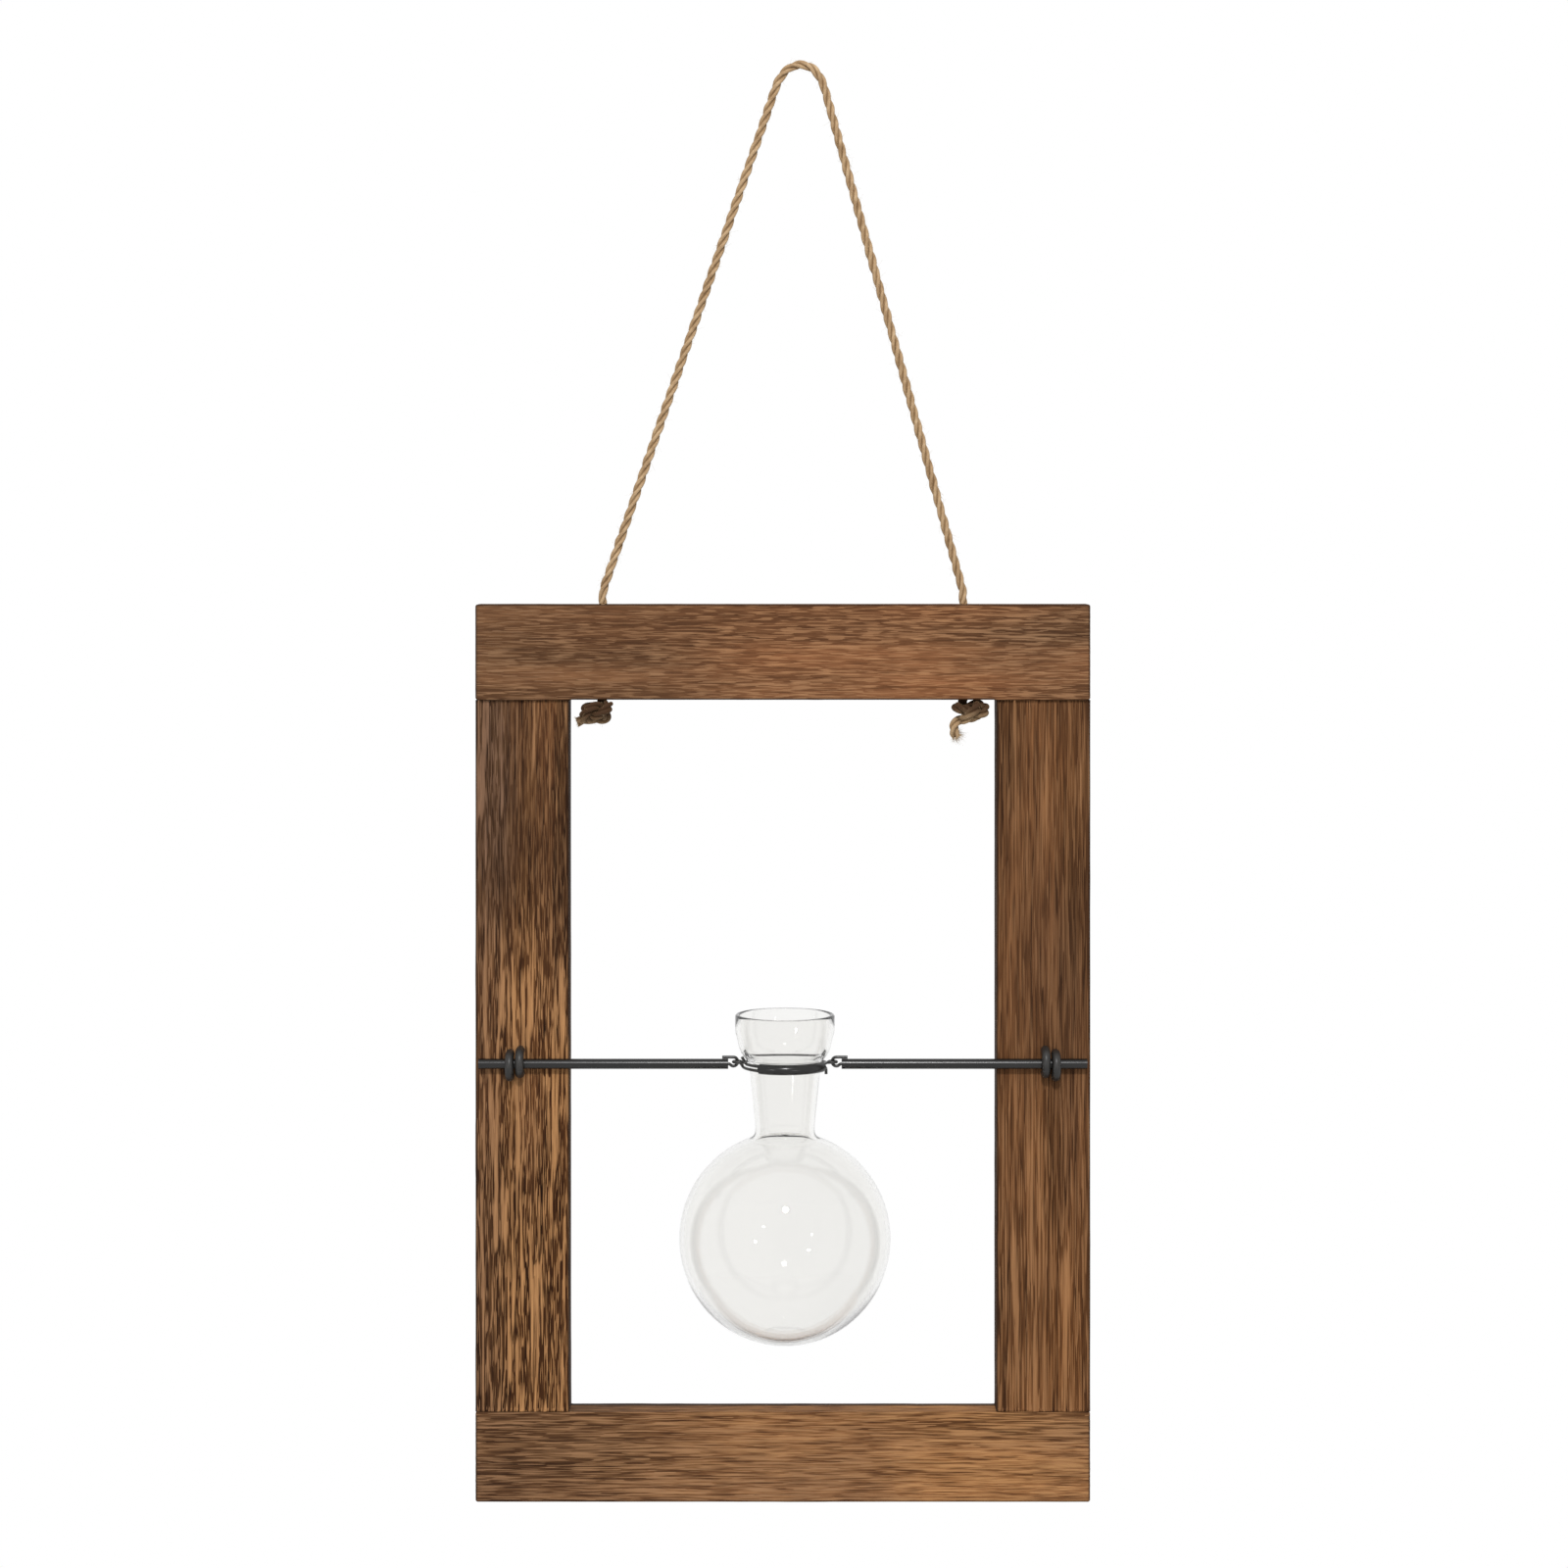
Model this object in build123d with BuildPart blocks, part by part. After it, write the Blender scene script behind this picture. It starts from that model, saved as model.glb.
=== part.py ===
"""Hanging propagation vase: a round glass flask linked by wire eyes into a wooden frame on a rope.

Millimetres, +Z up. The origin is the hook point, inside the top bend of the rope.
The front of the frame faces -Y and +X is to the right.
"""

from build123d import *
from math import asin, atan2, cos, degrees, pi, radians, sin, sqrt, tan
import os

os.makedirs("parts", exist_ok=True)

# Frame boards
frame_width = 205.5
frame_height = 300.0
board_thickness = 12.0
top_rail_height = 32.0
bottom_rail_height = 30.3
stile_width = 31.5
edge_round = 0.8

# Where the frame hangs below the hook, and how far the hook stands right of its middle
hook_rise = 179.3
hook_offset = 5.7

# Hidden dowels, two in each corner
dowel_diameter = 6.0
dowel_clearance = 0.1
dowel_depth = 12.0
dowel_end_gap = 0.5
dowel_spacing = 16.0
dowel_chamfer = 0.5

# Rope and its two knots
rope_diameter = 3.0
rope_hole_diameter = 4.0
rope_hole_inset = 10.75
rope_exit_run = 4.0
hook_bend_radius = 7.4
apex_left_share = 1.067
apex_right_share = 1.126
corner_run_share = 0.45
knot_rope_diameter = 2.4
knot_circle_radius = 3.34
knot_lobe_radius = 1.46
knot_depth_radius = 1.5
knot_end_spread = 2.1
knot_spread_reach = 0.9
knot_seat_gap = 0.4
knot_stations = 15
knot_dip = 16.5
knot_roll = -9.0
left_knot_turn = 7.0
right_knot_turn = 50.0
left_tail_reach, left_tail_back, left_tail_drop = 6.9, 0.2, 1.0
right_tail_reach, right_tail_back, right_tail_drop = 2.0, 0.6, 6.2

# Wire and its black coating tube
wire_diameter = 1.0
sleeve_diameter = 3.4
sleeve_wire_gap = 0.05
seat_gap = 0.05
arm_end_inset = 1.3
wire_end_inset = 0.4

# Eye at the end of each arm wire, upright, with its tail back along the tube
eye_reach = 17.2
arm_tube_reach = 18.9
eye_dip = 0.75
eye_tail_reach = 20.9

# Ties over the arms, through the stiles
tie_diameter = 2.9
tie_shift = 2.3
tie_pitch = 3.4
tie_slant = 1.1
tie_hole_clearance = 0.3
tie_back_bend = 1.8
tie_tail = 6.0
arch_share = 0.98

# Neck ring, one wire laid one and a half times round the neck, with a flat eye each side
ring_pitch = 1.45
ring_tube_clearance = 0.075
flask_gap = 0.3
link_gap = 0.45
link_half_width = 1.6
ring_bend = 1.0
ring_spike_angle = 203.0
ring_stub_angle = 343.0
ring_spike_length = 2.8
ring_spike_lean = 30.0
ring_stub_drop = 2.2
ring_tube_start = 234.8
ring_tube_end = 330.3

# Flask, with heights measured from the middle of the neck ring
flask_axis_offset = 0.7
wall = 1.5
bulb_radius = 35.2
bulb_top_drop = 22.9
foot_gap = 24.12
foot_radius = 8.0
waist_radius = 9.9
waist_drop = 20.5
seat_radius = 12.05
flare_radius = 14.8
flare_rise = 3.6
lip_radius = 16.6
lip_rise = 11.0
mouth_rise = 16.6
shoulder_blend = 3.0
waist_blend = 20.0
flare_blend = 8.0
lip_blend = 8.0
lip_round_share = 0.45

# One overrun for every cut that runs out of its piece
overrun = 1.0

# Limits for laying arcs, in degrees and as a share, the step either side of a station that gives its
# heading, as a share of the stations' spacing, and points for measuring a tube's gap to itself
straight_angle = 0.01
same_way_share = 1e-9
heading_step_share = 0.005
gap_samples = 600

# Places that follow from the sizes above
frame_x = -hook_offset
frame_top = -hook_rise
rail_under = frame_top - top_rail_height
frame_bottom = frame_top - frame_height
sill_top = frame_bottom + bottom_rail_height
board_front = board_thickness / 2
stile_offset = (frame_width - stile_width) / 2
rope_hole_offset = frame_width / 2 - stile_width - rope_hole_inset
left_hole_x, right_hole_x = frame_x - rope_hole_offset, frame_x + rope_hole_offset
flask_x = frame_x + flask_axis_offset
wire_radius = wire_diameter / 2
sleeve_radius = sleeve_diameter / 2
rope_radius = rope_diameter / 2
tie_radius = tie_diameter / 2
bulb_drop = bulb_top_drop + bulb_radius
foot_drop = bulb_drop + sqrt(bulb_radius**2 - foot_radius**2)
arm_y = -(board_front + seat_gap + sleeve_radius)
arm_z = sill_top + foot_gap + foot_drop
ring_radius = seat_radius + flask_gap + sleeve_radius
eye_radius = (eye_dip + sleeve_radius + seat_gap + wire_radius) / 2
link_level = -eye_dip + 2 * wire_radius + link_gap
half_pitch = ring_pitch / 2
seat_blend = sleeve_radius + flask_gap
tie_arch = tie_radius + sleeve_radius + seat_gap + tie_slant / 2
tie_half_height = tie_arch / arch_share


def lay_arcs(stations):
    """Join stations, each a place and a heading, by two tangent arcs between each pair."""
    tightest = []
    for (start, heading), (end, next_heading) in zip(stations, stations[1:]):
        across = end - start
        both = heading + next_heading
        spread = 2 * (1 - heading.dot(next_heading))
        if across.get_angle(heading) + across.get_angle(next_heading) < straight_angle:
            Line(start, end)
            continue
        if spread < same_way_share:
            reach = across.dot(across) / (2 * across.dot(both))
        else:
            push = across.dot(both)
            reach = (sqrt(push**2 + spread * across.dot(across)) - push) / spread
        middle = (start + end + (heading - next_heading) * reach) * 0.5
        turn = ((end - next_heading * reach) - (start + heading * reach)).normalized()
        for place, target, way in ((start, middle, heading), (middle, end, turn)):
            chord = target - place
            angle = chord.get_angle(way)
            if angle < straight_angle:
                Line(place, target)
            else:
                TangentArc(place, target, tangent=way)
                tightest.append(chord.length / (2 * sin(radians(angle))))
    return min(tightest)


def least_gap(path, diameter):
    """Least gap of a tube to itself, from points along its line, past its near neighbours."""
    places = [path.position_at(step / gap_samples) for step in range(gap_samples + 1)]
    near = int(gap_samples * 2 * diameter / path.length) + 1
    return min(
        (places[a] - places[b]).length - diameter
        for a in range(gap_samples + 1)
        for b in range(a + near, gap_samples + 1)
    )


def make_rail(height, z_low, hole_places, hole_radius, joint_z, joint_way):
    """A full-width board with through holes along Z and blind dowel holes on the joint side."""
    with BuildPart() as rail:
        with BuildSketch(Plane.XZ):
            with Locations((frame_x, z_low + height / 2)):
                Rectangle(frame_width, height)
        extrude(amount=board_thickness / 2, both=True)
        fillet(rail.edges(), edge_round)
        with BuildSketch(Plane.XY.offset(joint_z)):
            for side in (-1, 1):
                with Locations((frame_x + side * stile_offset, 0)):
                    with GridLocations(dowel_spacing, 0, 2, 1):
                        Circle((dowel_diameter + dowel_clearance) / 2)
        extrude(amount=joint_way * dowel_depth, mode=Mode.SUBTRACT)
        if hole_places:
            with BuildSketch(Plane.XY.offset(z_low - overrun)):
                with Locations(*hole_places):
                    Circle(hole_radius)
            extrude(amount=height + 2 * overrun, mode=Mode.SUBTRACT)
    return rail.part


def tie_place(side, turn, y, rise):
    """A place on a tie: turn 1 is its turn nearer the flask, which sits a little higher."""
    x = frame_x + side * (stile_offset + tie_shift - turn * tie_pitch / 2)
    return Vector(x, y, arm_z + turn * tie_slant / 2 + rise)


def make_stile(side):
    """An upright board with dowel holes in both ends and four holes for the tie."""
    x_mid = frame_x + side * stile_offset
    with BuildPart() as stile:
        with BuildSketch(Plane.XZ):
            with Locations((x_mid, (rail_under + sill_top) / 2)):
                Rectangle(stile_width, rail_under - sill_top)
        extrude(amount=board_thickness / 2, both=True)
        fillet(stile.edges().filter_by(Axis.Z), edge_round)
        for level, way in ((rail_under, -1), (sill_top, 1)):
            with BuildSketch(Plane.XY.offset(level)):
                with Locations((x_mid, 0)):
                    with GridLocations(dowel_spacing, 0, 2, 1):
                        Circle((dowel_diameter + dowel_clearance) / 2)
            extrude(amount=way * dowel_depth, mode=Mode.SUBTRACT)
        with BuildSketch(Plane.XZ):
            for turn in (-1, 1):
                for end in (-1, 1):
                    hole = tie_place(side, turn, 0, end * tie_half_height)
                    with Locations((hole.X, hole.Z)):
                        Circle((tie_diameter + tie_hole_clearance) / 2)
        extrude(amount=board_thickness / 2 + overrun, both=True, mode=Mode.SUBTRACT)
    return stile.part


def make_dowels(side, joint_z):
    """The two dowels of one corner, across the joint between a stile and a rail."""
    length = 2 * (dowel_depth - dowel_end_gap)
    with BuildPart() as dowels:
        with BuildSketch(Plane.XY.offset(joint_z - length / 2)):
            with Locations((frame_x + side * stile_offset, 0)):
                with GridLocations(dowel_spacing, 0, 2, 1):
                    Circle(dowel_diameter / 2)
        extrude(amount=length)
        chamfer(dowels.edges().filter_by(GeomType.CIRCLE), dowel_chamfer)
    return dowels.part


def arm_end_x(side):
    """Outer end of an arm, a little inside the stile's outer edge."""
    return frame_x + side * (frame_width / 2 - arm_end_inset)


def make_arm_tube(side):
    """The black coating tube of one arm, cut square at both ends."""
    inner_x = flask_x + side * arm_tube_reach
    length = abs(arm_end_x(side) - inner_x)
    with BuildPart() as tube:
        with BuildSketch(Plane(origin=(inner_x, arm_y, arm_z), z_dir=(side, 0, 0))):
            Circle(sleeve_radius)
            Circle(wire_radius + sleeve_wire_gap, mode=Mode.SUBTRACT)
        extrude(amount=length)
    return tube.part


def make_arm_wire(side):
    """The wire inside an arm: out of the tube, round an upright eye and back along its top."""
    inward, outward, upward = Vector(-side, 0, 0), Vector(side, 0, 0), Vector(0, 0, 1)

    def place(reach, rise):
        return Vector(flask_x + side * reach, arm_y, arm_z + rise)

    outer_reach = abs(arm_end_x(side) - side * wire_end_inset - flask_x)
    stations = [
        (place(outer_reach, 0), inward),
        (place(arm_tube_reach, 0), inward),
        (place(eye_reach, -eye_dip), inward),
        (place(eye_reach - eye_radius, eye_radius - eye_dip), upward),
        (place(eye_reach, 2 * eye_radius - eye_dip), outward),
        (place(eye_tail_reach, 2 * eye_radius - eye_dip), outward),
    ]
    with BuildPart() as wire:
        with BuildLine() as route:
            tightest = lay_arcs(stations)
        with BuildSketch(Plane(origin=stations[0][0], z_dir=inward)):
            Circle(wire_radius)
        sweep(path=route.wire())
    print("arm eye: tightest bend", round(tightest, 2))
    return wire.part


def make_tie(side):
    """Two turns of thick wire over the arm, from the back of the stile to the back again."""
    front_y = arm_y - tie_arch
    back_y = board_front + tie_back_bend
    points = [tie_place(side, 1, back_y, tie_half_height + tie_tail)]
    radii = []
    for turn in (1, -1):
        points += [
            tie_place(side, turn, back_y, tie_half_height),
            tie_place(side, turn, front_y, tie_half_height),
            tie_place(side, turn, front_y, -tie_half_height),
            tie_place(side, turn, back_y, -tie_half_height),
        ]
        radii += [tie_back_bend, tie_arch, tie_arch, tie_back_bend]
    points.append(tie_place(side, -1, back_y, -tie_half_height - tie_tail))
    with BuildPart() as tie:
        with BuildLine() as route:
            FilletPolyline(*points, radius=radii)
        with BuildSketch(Plane(origin=points[0], z_dir=(points[1] - points[0]))):
            Circle(tie_radius)
        sweep(path=route.wire())
    print("tie: least gap to itself", round(least_gap(route.wire(), tie_diameter), 2))
    return tie.part


def on_ring(angle, level):
    """A place on the neck ring and the heading there, anticlockwise from above."""
    turn = radians(angle)
    place = Vector(flask_x + ring_radius * cos(turn), arm_y + ring_radius * sin(turn), arm_z + level)
    return place, Vector(-sin(turn), cos(turn), 0)


def ring_eye(side):
    """Three stations of a flat eye that reaches out through the arm's eye."""
    leg_x = flask_x + side * (eye_reach - link_half_width)
    tip_x = flask_x + side * eye_reach
    level = arm_z + link_level
    return [
        (Vector(leg_x, arm_y - side * link_half_width, level), Vector(side, 0, 0)),
        (Vector(tip_x, arm_y, level), Vector(0, side, 0)),
        (Vector(leg_x, arm_y + side * link_half_width, level), Vector(-side, 0, 0)),
    ]


def make_neck_ring():
    """One wire: spike, front, right eye, back, left eye, front again and a turned-down end."""
    opening = degrees(asin((link_half_width + ring_bend) / ring_radius))
    step = degrees(ring_bend / ring_radius)
    down = Vector(0, 0, -1)
    spike_corner, spike_way = on_ring(ring_spike_angle, half_pitch)
    lean = radians(ring_spike_lean)
    fall = down * cos(lean) + spike_way.cross(down) * sin(lean)
    spike = spike_corner - fall * ring_spike_length
    spike_foot = spike_corner - fall * ring_bend
    stub_bend, _ = on_ring(ring_stub_angle + step, -half_pitch - ring_bend)
    stub, _ = on_ring(ring_stub_angle + step, -half_pitch - ring_stub_drop)
    stations = [
        (spike, fall),
        (spike_foot, fall),
        on_ring(ring_spike_angle + step, half_pitch),
        on_ring(270, half_pitch),
        on_ring(360 - opening, half_pitch),
        *ring_eye(1),
        on_ring(opening, 0),
        on_ring(90, 0),
        on_ring(180 - opening, 0),
        *ring_eye(-1),
        on_ring(180 + opening, -half_pitch),
        on_ring(270, -half_pitch),
        on_ring(ring_stub_angle, -half_pitch),
        (stub_bend, down),
        (stub, down),
    ]
    with BuildPart() as ring:
        with BuildLine() as route:
            tightest = lay_arcs(stations)
        with BuildSketch(Plane(origin=spike, z_dir=fall)):
            Circle(wire_radius)
        sweep(path=route.wire())
    gap = least_gap(route.wire(), wire_diameter)
    print("neck ring: tightest bend", round(tightest, 2), "least gap to itself", round(gap, 2))
    return ring.part


def make_ring_tube():
    """The short tube over both front wires of the neck ring."""
    start, heading = on_ring(ring_tube_start, 0)
    bore = half_pitch + wire_radius + ring_tube_clearance
    with BuildPart() as tube:
        with BuildLine() as route:
            CenterArc(
                (flask_x, arm_y, arm_z), ring_radius, ring_tube_start, ring_tube_end - ring_tube_start
            )
        with BuildSketch(Plane(origin=start, z_dir=heading)):
            Circle(sleeve_radius)
            Circle(bore, mode=Mode.SUBTRACT)
        sweep(path=route.wire())
    return tube.part


def seat_rise():
    """Height where the straight waist meets a flare that just clears the tube on the neck ring."""
    rise, run = flare_rise, flare_radius - ring_radius
    lean = atan2(rise, run) - asin(seat_blend / sqrt(rise**2 + run**2))
    return flare_rise - (flare_radius - seat_radius) * tan(lean)


def make_flask():
    """The blown flask: a ball with a small flat foot, a narrow waist, a flare and a lip."""
    shoulder = Vector(waist_radius, sqrt(bulb_radius**2 - waist_radius**2) - bulb_drop)
    with BuildSketch() as outline:
        with BuildLine():
            Polyline((0, mouth_rise), (0, -foot_drop), (foot_radius, -foot_drop))
            ThreePointArc((foot_radius, -foot_drop), (bulb_radius, -bulb_drop), shoulder)
            FilletPolyline(
                shoulder,
                (waist_radius, -waist_drop),
                (seat_radius, seat_rise()),
                (flare_radius, flare_rise),
                (lip_radius, lip_rise),
                (lip_radius, mouth_rise),
                radius=[waist_blend, seat_blend, flare_blend, lip_blend],
            )
            Line((lip_radius, mouth_rise), (0, mouth_rise))
        make_face()
        fillet(outline.vertices().sort_by_distance(shoulder)[0], shoulder_blend)
    with BuildSketch() as hollow:
        add(outline.sketch)
        mirror(about=Plane.YZ)
        offset(amount=-wall)
        with Locations((0, mouth_rise)):
            Rectangle(2 * (lip_radius - wall), 2 * (wall + overrun))
        split(bisect_by=Plane.YZ)
    plane = Plane(origin=(flask_x, arm_y, arm_z), x_dir=(1, 0, 0), z_dir=(0, -1, 0))
    axis = Axis((flask_x, arm_y, arm_z), (0, 0, 1))
    with BuildPart() as flask:
        with BuildSketch(plane):
            add(outline.sketch)
        revolve(axis=axis)
        with BuildSketch(plane):
            add(hollow.sketch)
        revolve(axis=axis, mode=Mode.SUBTRACT)
        rim = flask.faces().sort_by(Axis.Z)[-1]
        fillet(rim.edges(), wall * lip_round_share)
    return flask.part


def make_hanging_rope():
    """The rope's free stretch, from one hole in the rail over the hook to the other."""
    rise = rope_radius - frame_top - rope_exit_run
    apex_left = hook_bend_radius * tan(atan2(rise, -left_hole_x) / 2) * apex_left_share
    apex_right = hook_bend_radius * tan(atan2(rise, right_hole_x) / 2) * apex_right_share
    points = [
        Vector(left_hole_x, 0, frame_top),
        Vector(left_hole_x, 0, frame_top + rope_exit_run),
        Vector(-apex_left, 0, rope_radius),
        Vector(apex_right, 0, rope_radius),
        Vector(right_hole_x, 0, frame_top + rope_exit_run),
        Vector(right_hole_x, 0, frame_top),
    ]
    radii = []
    for before, corner, after in zip(points, points[1:], points[2:]):
        turn = radians((corner - before).get_angle(after - corner))
        shorter = min((corner - before).length, (after - corner).length)
        radii.append(corner_run_share * shorter / tan(turn / 2))
    radii[1] = radii[2] = hook_bend_radius
    with BuildPart() as rope:
        with BuildLine() as route:
            FilletPolyline(*points, radius=radii)
        with BuildSketch(Plane.XY.offset(frame_top)):
            with Locations((left_hole_x, 0)):
                Circle(rope_radius)
        sweep(path=route.wire())
    length = route.wire().length
    print("rope: bend radii", [round(r, 1) for r in radii], "length", round(length, 1))
    share = rope.part.volume / (pi * rope_radius**2 * length)
    print("rope: volume over section times length", round(share, 4))
    return rope.part


def knot_point(turn):
    """A place on the overhand knot about its own middle: a three-lobed line, its ends spread apart."""
    ring = knot_circle_radius + knot_lobe_radius * cos(3 * turn)
    depth = knot_depth_radius * sin(3 * turn)
    for end, way in ((0, 1), (2 * pi, -1)):
        fall = max(0, 1 - abs(turn - end) / knot_spread_reach)
        depth += way * knot_end_spread * fall**2 * (3 - 2 * fall)
    return ring * cos(2 * turn), ring * sin(2 * turn), depth


def make_knot(hole_x, knot_turn, tail):
    """The rope's leg down through the rail, an overhand knot lying under it and a short tail."""
    turn, dip, roll = radians(knot_turn), radians(knot_dip), radians(knot_roll)
    down = Vector(0, 0, -1)
    along = Vector(-cos(turn) * cos(dip), -sin(turn) * cos(dip), -sin(dip))
    level = down.cross(along).normalized()
    outward = level * cos(roll) + level.cross(along) * sin(roll)
    depth = outward.cross(along)

    def place(angle):
        a, b, c = knot_point(angle)
        return outward * a + along * b + depth * c

    turns = [2 * pi * step / knot_stations for step in range(knot_stations + 1)]
    nudge = heading_step_share * 2 * pi / knot_stations
    headings = [
        (place(min(2 * pi, angle + nudge)) - place(max(0, angle - nudge))).normalized() for angle in turns
    ]
    top = max(place(angle).Z for angle in turns) + knot_rope_diameter / 2
    fall = knot_seat_gap + top - place(0).Z
    bend = radians(headings[0].get_angle(down))
    aside = Vector(headings[0].X, headings[0].Y, 0).normalized() * fall * tan(bend / 2)
    start = Vector(hole_x, 0, rail_under - fall) + aside
    stations = [(Vector(hole_x, 0, frame_top), down), (Vector(hole_x, 0, rail_under), down)]
    stations += [(start + place(angle) - place(0), way) for angle, way in zip(turns, headings)]
    end, way = stations[-1]
    chord = tail.normalized()
    stations.append((end + tail, chord * (2 * chord.dot(way)) - way))
    with BuildPart() as knot:
        with BuildLine() as route:
            tightest = lay_arcs(stations)
        with BuildSketch(Plane(origin=stations[0][0], z_dir=down)):
            Circle(knot_rope_diameter / 2)
        sweep(path=route.wire())
    gap = least_gap(route.wire(), knot_rope_diameter)
    print("knot: tightest bend", round(tightest, 2), "least gap to itself", round(gap, 2))
    return knot.part


left_tail = Vector(-left_tail_reach, left_tail_back, -left_tail_drop)
right_tail = Vector(-right_tail_reach, right_tail_back, -right_tail_drop)

parts = {
    "top_rail": make_rail(
        top_rail_height,
        rail_under,
        [(left_hole_x, 0), (right_hole_x, 0)],
        rope_hole_diameter / 2,
        rail_under,
        1,
    ),
    "bottom_rail": make_rail(bottom_rail_height, frame_bottom, [], 0, sill_top, -1),
    "left_stile": make_stile(-1),
    "right_stile": make_stile(1),
    "top_left_dowels": make_dowels(-1, rail_under),
    "top_right_dowels": make_dowels(1, rail_under),
    "bottom_left_dowels": make_dowels(-1, sill_top),
    "bottom_right_dowels": make_dowels(1, sill_top),
    "left_arm_tube": make_arm_tube(-1),
    "right_arm_tube": make_arm_tube(1),
    "left_arm_wire": make_arm_wire(-1),
    "right_arm_wire": make_arm_wire(1),
    "left_tie": make_tie(-1),
    "right_tie": make_tie(1),
    "neck_ring": make_neck_ring(),
    "ring_tube": make_ring_tube(),
    "flask": make_flask(),
    "hanging_rope": make_hanging_rope(),
    "left_rope_knot": make_knot(left_hole_x, left_knot_turn, left_tail),
    "right_rope_knot": make_knot(right_hole_x, right_knot_turn, right_tail),
}

for name, piece in parts.items():
    piece.label = name
    export_step(piece, f"parts/{name}.step")
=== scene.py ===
# %% [markdown]
# A hanging propagation vase. A round glass flask hangs by its neck in a wire ring, the ring is
# linked to two coated wires tied to a torched wooden frame, and a jute rope carries the frame.
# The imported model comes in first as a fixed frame. Everything added later is placed from it.

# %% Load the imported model
import math

import bpy
import numpy as np
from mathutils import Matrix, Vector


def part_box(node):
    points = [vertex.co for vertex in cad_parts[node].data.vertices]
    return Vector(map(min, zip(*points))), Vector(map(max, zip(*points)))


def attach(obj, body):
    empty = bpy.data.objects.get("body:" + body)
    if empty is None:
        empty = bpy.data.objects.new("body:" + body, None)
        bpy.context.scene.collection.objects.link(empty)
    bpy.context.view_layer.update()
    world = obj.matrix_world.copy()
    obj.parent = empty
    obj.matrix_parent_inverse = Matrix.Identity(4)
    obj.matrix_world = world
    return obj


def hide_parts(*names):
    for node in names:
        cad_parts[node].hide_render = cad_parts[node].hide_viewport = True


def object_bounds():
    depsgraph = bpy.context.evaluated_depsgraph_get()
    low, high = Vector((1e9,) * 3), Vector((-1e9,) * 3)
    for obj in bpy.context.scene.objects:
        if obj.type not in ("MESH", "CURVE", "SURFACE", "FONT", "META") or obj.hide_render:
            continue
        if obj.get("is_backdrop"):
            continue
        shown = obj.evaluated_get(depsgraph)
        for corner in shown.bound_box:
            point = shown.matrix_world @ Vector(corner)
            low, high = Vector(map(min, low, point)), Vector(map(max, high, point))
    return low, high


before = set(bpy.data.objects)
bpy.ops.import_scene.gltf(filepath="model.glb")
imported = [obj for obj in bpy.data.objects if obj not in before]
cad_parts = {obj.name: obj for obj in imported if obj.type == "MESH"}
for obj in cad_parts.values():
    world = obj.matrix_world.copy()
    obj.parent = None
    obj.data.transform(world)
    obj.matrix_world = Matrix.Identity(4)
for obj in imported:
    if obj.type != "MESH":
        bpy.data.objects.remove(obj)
cad_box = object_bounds()
mm = 0.001

# %% [markdown]
# The photograph was taken with a long lens from straight in front, so the frame's sides stay
# parallel. The camera looks almost level and its picture is shifted downwards, as with a view
# camera, because tilting it instead would make the uprights lean towards each other. The lens's
# length is counted in the photograph's pixels, and the axis row is the one that the lens points at.

# %% Camera
photo_width = 1600
axis_row = 565.3
focal_pixels = 3553.0
sensor_width = 36.0
camera_place = (-5.3 * mm, -1168.2 * mm, -159.9 * mm)
camera_dip = math.radians(0.13)

camera = bpy.data.objects.new("camera", bpy.data.cameras.new("camera"))
bpy.context.scene.collection.objects.link(camera)
bpy.context.scene.camera = camera
camera.location = camera_place
camera.rotation_euler = (math.pi / 2 - camera_dip, 0, 0)
camera.data.sensor_width = sensor_width
camera.data.sensor_fit = "HORIZONTAL"
camera.data.lens = sensor_width * focal_pixels / photo_width
camera.data.shift_y = (axis_row - photo_width / 2) / photo_width
print("lens", round(camera.data.lens, 1), "mm, shift", round(camera.data.shift_y, 3))

# %% [markdown]
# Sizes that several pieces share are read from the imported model: the rails give the frame's
# middle, its top, the top rail's underside and the sill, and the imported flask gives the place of
# the new one.

# %% Places read from the frame
rail_low, rail_high = (np.array(corner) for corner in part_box("top_rail"))
flask_low, flask_high = (np.array(corner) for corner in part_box("flask"))
frame_x = (rail_low[0] + rail_high[0]) / 2
frame_top, rail_under, sill_top = rail_high[2], rail_low[2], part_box("bottom_rail")[1][2]
window_reach = frame_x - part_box("left_stile")[1][0]
print("frame middle", round(frame_x / mm, 2), "top", round(frame_top / mm, 2), "mm")

# %% [markdown]
# Ropes follow lines. A line is drawn as a NURBS curve, which rounds off each corner by itself, and
# Blender gives its points back. Spaced evenly by arc length, they carry a section without
# stretching it.

# %% Helpers for lines
curve_resolution = 24


def towards(start, end, distance):
    """The point that lies the given distance from start on the straight line to end."""
    start, end = np.array(start), np.array(end)
    return start + (end - start) * distance / np.linalg.norm(end - start)


def nurbs_line(name, points):
    """An open NURBS curve of order 3 with these control points, reaching both end points."""
    curve = bpy.data.curves.new(name, "CURVE")
    curve.dimensions = "3D"
    spline = curve.splines.new("NURBS")
    spline.points.add(len(points) - 1)
    spline.points.foreach_set("co", np.hstack([points, np.ones((len(points), 1))]).ravel())
    spline.order_u = 3
    spline.use_endpoint_u = True
    spline.resolution_u = curve_resolution
    return bpy.data.objects.new(name, curve)


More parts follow.
